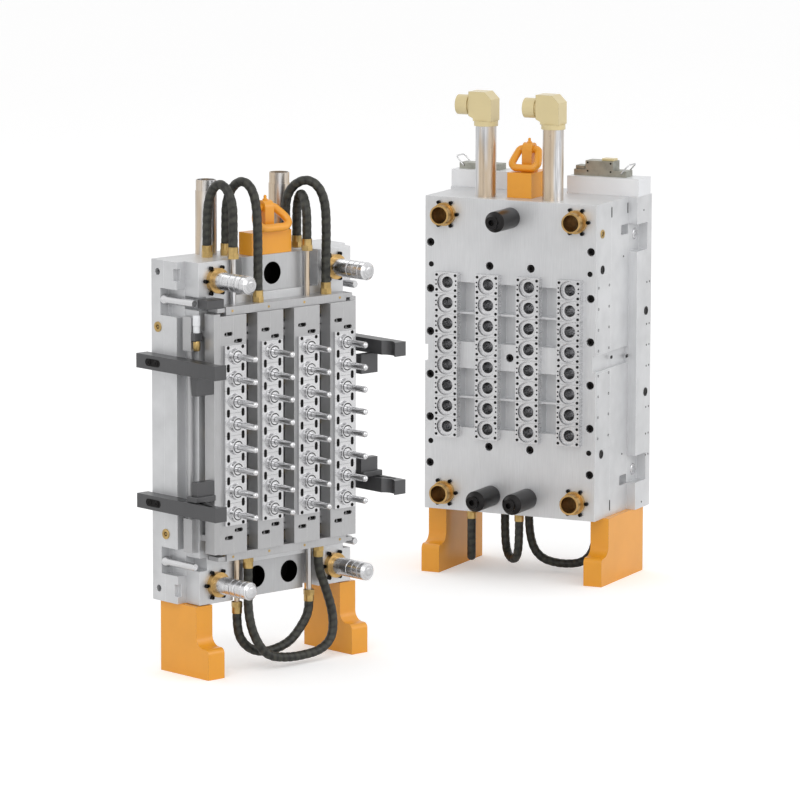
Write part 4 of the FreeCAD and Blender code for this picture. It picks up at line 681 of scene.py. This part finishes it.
class MouldNeckScrews(bpy.types.Operator):
    """Build the screws of the neck rings and of the slides behind them, and thin dark rings painted as the
    shade in the ring screws' counterbores.
    """
    bl_idname = "mould.neck_screws"
    bl_label = "Neck ring and slide screws"

    def execute(self, context):
        head = screw(sizes().ring_screw / MM, height=1.2, sides=8)
        # Thin dark rings and ovals painted as the shade in the ring screws' counterbores.
        single = plug(diameter=8.4, height=0.25, bore=7, depth=0.2, sides=16)
        double = oblong(length=18, width=8.4, height=0.25, inset=0.7, depth=0.2)
        bolt = screw(diameter=7.6, height=5)
        ring_front, slide_seat = 8, 23
        from_core, from_row = 21, 20
        slide_middle, bolt_reach = 14, 7.5
        bolt_rows = {"left": (224, -228), "right": (207, -213)}
        for name, side in (("left", -1), ("right", 1)):
            screws = Piece()
            counterbore_shade = Piece()
            bolts = Piece()
            for column in COLUMN_X:
                x = column + side * from_core
                for z in ROW_Z:
                    for level in SIDES:
                        screws.add(head, "-y", x, ring_front, z + level * from_row)
                for z in ROW_Z[:-1]:
                    counterbore_shade.add(double, "-y", x, ring_front, z + ROW_PITCH / 2, 90)
                for z in (ROW_Z[0] - from_row, ROW_Z[-1] + from_row):
                    counterbore_shade.add(single, "-y", x, ring_front, z)
                for z in bolt_rows[name]:
                    for across in SIDES:
                        bolts.add(bolt, "-y", column + side * slide_middle + across * bolt_reach,
                                  slide_seat, z)
            screws.finish(name + "_ring_screws", CORE_HALF, name + "_slide_set", "hole", "black_steel")
            counterbore_shade.finish(name + "_ring_screw_seats", CORE_HALF, name + "_slide_set", "hole", "black_steel")
            bolts.finish(name + "_slide_bolts", CORE_HALF, name + "_slide_set", "hole", "black_steel")
        return {"FINISHED"}


class MouldGuideScrews(bpy.types.Operator):
    """Build the screws round the guide bushings and the centred ends of the leader pins."""
    bl_idname = "mould.guide_screws"
    bl_label = "Bushing screws and pin ends"

    def execute(self, context):
        head = screw(diameter=9, height=7)
        centre = lathe([(4, -3), (4, 0.2), (9, 0.5), (9.5, 0.2), (9.5, -0.5)])
        pin_front, stripper_seat, cavity_front = -58, 60, 10
        ring = 32
        stripper = Piece()
        cavity = Piece()
        ends = Piece()
        for x, z in PIN_ENDS:
            ends.add(centre, "-y", x, pin_front, z)
            for turn in range(0, 360, 60):
                across = ring * math.cos(math.radians(turn))
                up = ring * math.sin(math.radians(turn))
                stripper.add(head, "-y", x + across, stripper_seat, z + up)
                cavity.add(head, "-y", x + across, cavity_front, z + up)
        stripper.finish("stripper_bushing_screws", CORE_HALF, "stripper", "hole", "black_steel")
        cavity.finish("cavity_bushing_screws", CAVITY_HALF, "standing_mould", "hole", "black_steel")
        ends.finish("leader_pin_ends", CORE_HALF, "standing_mould", "pin", "core_steel")
        return {"FINISHED"}


class MouldCavityScrews(bpy.types.Operator):
    """Build the screws of the cavity inserts and of the cavity plate, and dark rings painted as the shade in
    the inserts' small holes.
    """
    bl_idname = "mould.cavity_screws"
    bl_label = "Cavity screws"

    def execute(self, context):
        head = screw(sizes().insert_screw / MM, height=1.2, sides=8)
        # A thin dark ring painted as the shade inside each of the inserts' small holes.
        pin_hole_shade = plug(diameter=4.4, height=0.25, bore=3.2, depth=0.2, sides=10)
        bolt = screw(sizes().plate_screw / MM, height=9, sides=16)
        small = plug(diameter=13, height=0.6, bore=8, depth=0.5)
        insert_front, plate_front, counterbore = -9, 10, 22
        corners = [(a, b) for a in SIDES for b in SIDES]
        inserts = Piece()
        for x, z in GRID:
            for a, b in corners:
                inserts.add(head, "-y", x + a * 24.5, insert_front, z + b * 18)
                inserts.add(pin_hole_shade, "-y", x + a * 26, insert_front, z + b * 5)
        inserts.finish("cavity_insert_screws_and_hole_shade", CAVITY_HALF, "standing_mould", "hole", "black_steel")
        plates = Piece()
        outer = [(a * 210, b * z) for a, b in corners for z in (52, 156, 268)]
        inner = [(a * 54, b * 219) for a, b in corners] + [(0, 0)]
        for x, z in outer + inner:
            plates.add(bolt, "-y", x, counterbore, z)
        for a, b in corners:
            plates.add(small, "-y", a * 208, plate_front, b * 215)
        plates.finish("cavity_plate_screws", CAVITY_HALF, "standing_mould", "hole", "black_steel")
        return {"FINISHED"}


class MouldCavitySides(bpy.types.Operator):
    """Build the cover strips, plugs and screws in the sides of the cavity half, and dark oblongs painted as
    the shade inside its slits and slots.
    """
    bl_idname = "mould.cavity_sides"
    bl_label = "Cavity half's sides"

    def execute(self, context):
        strip = block(length=184, width=76, height=0.6, edge=0.2)
        small = plug(diameter=6.4, height=0.5, bore=4, depth=0.4, sides=12)
        bolt = plug(diameter=5, height=0.3, bore=3.4, depth=0.2, sides=10)
        # Dark oblongs painted as the shade inside the slits and slots.
        slit_shade = oblong(length=26, width=5, height=0.3, inset=0.6, depth=0.2)
        slot = oblong(length=14, width=8, height=0.3, inset=0.7, depth=0.2)
        socket = plug(diameter=21, height=1.2, bore=13, depth=1)
        rod_end = lathe([(0, -4), (6, -4), (6, 3), (12.5, 3), (14, 1.5), (14, 0)])
        port = plug(diameter=21, height=2, bore=13, depth=1.6)
        hexagon = screw(diameter=12, height=0.8, sides=6)
        cover_height, pocket_depth = 0.4, 24
        covers = Piece()
        dark = Piece()
        rods = Piece()
        ports = Piece()
        for facing, side in (("-x", -1), ("+x", 1)):
            x = side * CAVITY_SIDE
            rear = side * PLATE_SIDE
            # Back from the front and up or down from the middle, on the cavity and manifold plates.
            for level in SIDES:
                covers.add(strip, facing, x, 56, level * 117)
                for z in (30, 80, 130, 181):
                    for y in (25, 87):
                        dark.add(small, facing, x + side * cover_height, y, level * z)
                dark.add(socket, facing, x, 47, level * 222)
                dark.add(slit_shade, facing, x, 100, level * 354)
                dark.add(slot, facing, x, 150 - level * 46, level * 5, 90)
                dark.add(bolt, facing, x, 172, level * 240)
                dark.add(socket, facing, rear, 258, level * 99)
                rods.add(rod_end, facing, rear - side * pocket_depth, 240, level * 287)
            # Pairs of screws up the backing plate.
            for z in (168, 66, 15, -36, -137, -202, -254):
                for y in (262, 278):
                    dark.add(bolt, facing, rear, y, z)
            dark.add(slit_shade, facing, x, 196, 354)
            dark.add(bolt, facing, rear, 240, 345)
            dark.add(bolt, facing, rear, 240, -366)
            ports.add(port, facing, x, 45, 308)
            dark.add(hexagon, facing, x, 45, 308)
        covers.finish("cooling_cover_strips", CAVITY_HALF, "standing_mould", "hot_plate", "plate_steel")
        dark.finish("cavity_side_screws_and_hole_shade", CAVITY_HALF, "standing_mould", "hole", "black_steel")
        rods.finish("cavity_clamp_ends", CAVITY_HALF, "standing_mould", "insert", "plate_steel")
        ports.finish("cavity_water_ports", CAVITY_HALF, "standing_mould", "brass", "brass")
        return {"FINISHED"}


class MouldCoreSides(bpy.types.Operator):
    """Build the ports, clamp rods and cam-bar screws on the sides of the core half, with dark oblongs and
    liners painted as the shade in the cam-bar slots and the locating holes.
    """
    bl_idname = "mould.core_sides"
    bl_label = "Core half's sides"

    def execute(self, context):
        port = plug(diameter=23, height=2, bore=12, depth=1.6)
        hexagon = screw(diameter=11, height=0.6, sides=6)
        # A dark oblong painted as the shade in each cam-bar slot.
        cam_slot_shade = oblong(length=50, width=17, height=0.4, inset=0.9, depth=0.3)
        bolt = screw(diameter=12, height=1.6)
        rod = lathe([(0, 0), (12, 0), (12, 9), (8.5, 15), (8.5, 98), (7, 101), (0, 101)])
        hole_shade_liner = lathe([(0, 0.4), (24.4, 0.4), (24.4, 34), (24.9, 34.4), (24.9, 0), (0, 0)])
        cam_bar, seat_depth, bolt_reach = 156, 149, 12
        rod_side, rod_depth, rod_level = 235.5, 159, 292
        hole_depth, hole_reach = 105, 48
        ports = Piece()
        dark = Piece()
        rods = Piece()
        for facing, side in (("-x", -1), ("+x", 1)):
            for y, z in ((168, 231), (144, -228)):
                ports.add(port, facing, side * PLATE_SIDE, y, z)
                dark.add(hexagon, facing, side * PLATE_SIDE, y, z)
            for level in SIDES:
                dark.add(cam_slot_shade, facing, side * CAM_BAR_SIDE, seat_depth, level * cam_bar, 90)
                for y in (seat_depth - bolt_reach, seat_depth + bolt_reach):
                    dark.add(bolt, facing, side * CAM_BAR_SIDE, y, level * cam_bar)
                rods.add(rod, "-y", side * rod_side, rod_depth, level * rod_level)
        # Dark liners painted as the shade inside the locating holes, one above and two below.
        for x, z in ((0, PIN_Z), (-hole_reach, -PIN_Z), (hole_reach, -PIN_Z)):
            dark.add(hole_shade_liner, "-y", x, hole_depth, z)
        ports.finish("core_water_ports", CORE_HALF, "standing_mould", "brass", "brass")
        dark.finish("cam_bar_screws_and_hole_shade", CORE_HALF, "standing_mould", "hole", "black_steel")
        rods.finish("core_clamp_rods", CORE_HALF, "standing_mould", "neck", "plate_steel")
        return {"FINISHED"}


class MouldStripperParts(bpy.types.Operator):
    """Build the brackets, rail screws and side fittings of the stripper plate."""
    bl_idname = "mould.stripper_parts"
    bl_label = "Stripper plate's small parts"

    def execute(self, context):
        step = block(length=22, width=34, height=10, edge=0.6)
        bracket = block(length=48, width=34, height=20, edge=1)
        dot = plug(diameter=6, height=0.5, bore=3.6, depth=0.4, sides=12)
        port = plug(diameter=11, height=1, bore=6, depth=0.8)
        union = lathe([(0, 0), (7.5, 0), (7.5, 15), (8.5, 16), (8.5, 37), (7, 39), (0, 39)])
        nut = block(length=24, width=14, height=18, edge=1.5)
        ferrule = lathe([(0, 0), (6, 0), (8, 3), (8, 19), (6.5, 22), (0, 22)])
        flange = block(length=57, width=32, height=12.5, edge=1)
        rail, rail_front, rail_end, rail_middle = 273, 22, 175, 42
        step_side, step_level, half_step = 186, 275.6, 5
        follower_side, follower_front, flange_bottom = 245.5, 25, -139
        bracket_side, bracket_bottom = -202, 281
        union_side, union_depth = -231, 56
        steps = Piece()
        dark = Piece()
        brass = Piece()
        unions = Piece()
        nuts = Piece()
        ferrules = Piece()
        for name, facing, side in (("left", "-x", -1), ("right", "+x", 1)):
            for level in SIDES:
                steps.add(step, "+z", side * step_side, rail_middle, level * step_level - half_step)
                brass.add(port, facing, side * rail_end, 34, level * rail)
                for x in (52, 157):
                    brass.add(dot, "-y", side * x, rail_front, level * rail)
            flanges = Piece()
            flanges.add(flange, "+z", side * follower_side, follower_front, flange_bottom)
            flanges.finish(name + "_follower_flange", CORE_HALF, name + "_slide_set", "cam", "cam_steel")
        dark.add(bracket, "+z", bracket_side, rail_middle, bracket_bottom)
        # A water union beside the left tie bar goes with it, its nut and ferrule below.
        for piece, shape, z in ((nuts, nut, 210), (unions, union, 228), (ferrules, ferrule, 188)):
            piece.add(shape, "+z", union_side, union_depth, z)
        steps.finish("rail_end_steps", CORE_HALF, "stripper", "slide", "slide_steel")
        dark.finish("rail_brackets", CORE_HALF, "stripper", "cam", "cam_steel")
        brass.finish("rail_screws", CORE_HALF, "stripper", "brass", "brass")
        unions.finish("side_unions", CORE_HALF, "left_slide_set", "box", "fitting_steel")
        nuts.finish("side_union_nuts", CORE_HALF, "left_slide_set", "cam", "cam_steel")
        ferrules.finish("side_union_ferrules", CORE_HALF, "left_slide_set", "brass", "brass")
        return {"FINISHED"}


class MouldTopParts(bpy.types.Operator):
    """Build the grease pegs of the lifting swivels and the small parts of the connectors."""
    bl_idname = "mould.top_parts"
    bl_label = "Small parts on top"

    def execute(self, context):
        peg = lathe([(6, 0), (6, 3), (3.5, 5), (3.5, 10), (2, 12), (0, 12)], sides=16)
        for name, half, y, z in (("core", CORE_HALF, 94, 497), ("hot", CAVITY_HALF, 118, 507)):
            pegs = Piece()
            pegs.add(peg, "+z", 0, y, z)
            pegs.finish(name + "_swivel_peg", half, name + "_hoist_swivel", "orange", "orange_paint")
        housing_front, housing_middle, box_top = 224, 244, 437
        head = screw(diameter=4.6, height=1, sides=8)
        screws = Piece()
        for x in (106, 166):
            for z in (434, 454):
                screws.add(head, "-y", x, housing_front, z)
        screws.finish("connector_screws", CAVITY_HALF, "standing_mould", "hole", "black_steel")
        cap = Piece()
        cap.add(block(length=32, width=24, height=6, edge=1), "+z", 155, housing_middle, 459)
        cap.finish("connector_cap", CAVITY_HALF, "standing_mould", "elbow", "connector_grey")
        lugs = Piece()
        lugs.add(block(length=24, width=30, height=9, edge=1), "+z", 84, housing_middle, box_top)
        lugs.add(block(length=14, width=22, height=12, edge=1), "+z", -160, housing_middle, box_top)
        lugs.finish("connector_lugs", CAVITY_HALF, "standing_mould", "housing", "connector_grey")
        return {"FINISHED"}


class MouldStage(bpy.types.Operator):
    """Set up the floor, the studio light and the camera."""
    bl_idname = "mould.stage"
    bl_label = "Stage"

    def execute(self, context):
        scene = context.scene
        scene.view_settings.view_transform = "Standard"
        build = bmesh.new()
        bmesh.ops.create_grid(build, x_segments=1, y_segments=1, size=30)
        mesh = bpy.data.meshes.new("studio_floor")
        build.to_mesh(mesh)
        build.free()
        floor = bpy.data.objects.new("studio_floor", mesh)
        context.collection.objects.link(floor)
        paint = Finish("studio_floor_paint")
        soft = paint.noise(paint.place(), scale=0.8, detail=2)
        seen = paint.node("ShaderNodeLightPath", {}, {}, "Is Camera Ray")
        paint.set(Base_Color=paint.mix(soft, shade(colours().floor, 0.99), colours().floor), Roughness=0.9,
                  Emission_Color=paint.mix(seen, (0, 0, 0), (1, 1, 1)), Emission_Strength=0.24)
        mesh.materials.append(paint.material)
        target = Vector((0, 0, 0.5))
        # Each lamp's place and width in metres, and its power in watts.
        lamps = (
            ("key", (-5.5, -4.5, 5.5), 6, 160),
            ("fill", (3.5, -6.5, 3.5), 5, 95),
            ("back", (0, 6, 5), 5, 50),
        )
        for name, place, width, power in lamps:
            lamp = bpy.data.lights.new("studio_" + name, "AREA")
            lamp.shape = "DISK"
            lamp.size = width
            lamp.energy = power
            made = bpy.data.objects.new("studio_" + name, lamp)
            made.location = place
            made.rotation_euler = (target - Vector(place)).to_track_quat("-Z", "Y").to_euler()
            context.collection.objects.link(made)
        # A white world that lights the mould a little less than the camera and mirrors see it.
        world = bpy.data.worlds.new("studio")
        scene.world = world
        world.use_nodes = True
        tree = world.node_tree
        sky = tree.nodes["Background"]
        sky.inputs["Color"].default_value = (1, 1, 1, 1)
        rays = tree.nodes.new("ShaderNodeLightPath")
        seen = rays.outputs["Is Camera Ray"]
        for other in ("Is Glossy Ray", "Is Transmission Ray"):
            either = tree.nodes.new("ShaderNodeMath")
            either.operation = "MAXIMUM"
            tree.links.new(seen, either.inputs[0])
            tree.links.new(rays.outputs[other], either.inputs[1])
            seen = either.outputs[0]
        strength = tree.nodes.new("ShaderNodeMapRange")
        strength.inputs["To Min"].default_value = 0.8
        strength.inputs["To Max"].default_value = 1
        tree.links.new(seen, strength.inputs["Value"])
        tree.links.new(strength.outputs["Result"], sky.inputs["Strength"])
        # The photo's camera: its focal length is 5500 pixels in a picture 800 pixels wide.
        camera = bpy.data.cameras.new("photo_camera")
        camera.lens = 247.5
        camera.sensor_width = 36
        camera.clip_end = 100
        eye = bpy.data.objects.new("photo_camera", camera)
        eye.location = (-8.45919, -9.35746, 2.52152)
        eye.rotation_euler = [math.radians(angle) for angle in (80.89781, -0.10921, -42.32626)]
        context.collection.objects.link(eye)
        scene.camera = eye
        return {"FINISHED"}


STEPS = [MouldStage, MouldFinishes, MouldHoses, MouldNeckScrews, MouldGuideScrews, MouldCavityScrews,
         MouldCavitySides, MouldCoreSides, MouldStripperParts, MouldTopParts]


class MouldPanel(bpy.types.Panel):
    """The mould's steps and settings."""
    bl_idname = "VIEW3D_PT_mould"
    bl_label = "Preform mould"
    bl_space_type = "VIEW_3D"
    bl_region_type = "UI"
    bl_category = "Mould"

    def draw(self, context):
        for step in STEPS:
            self.layout.operator(step.bl_idname)
        for group in (context.scene.mould_sizes, context.scene.mould_colours):
            for name in group.__annotations__:
                self.layout.prop(group, name)


CLASSES = [MouldSizes, MouldColours, *STEPS, MouldPanel]


def register():
    for made in CLASSES:
        bpy.utils.register_class(made)
    bpy.types.Scene.mould_sizes = bpy.props.PointerProperty(type=MouldSizes)
    bpy.types.Scene.mould_colours = bpy.props.PointerProperty(type=MouldColours)


def unregister():
    del bpy.types.Scene.mould_colours
    del bpy.types.Scene.mould_sizes
    for made in reversed(CLASSES):
        bpy.utils.unregister_class(made)


def main():
    register()
    for step in STEPS:
        area, name = step.bl_idname.split(".")
        result = getattr(getattr(bpy.ops, area), name)()
        if result != {"FINISHED"}:
            raise RuntimeError(f"{step.bl_idname} did not finish")


if __name__ == "__main__":
    main()
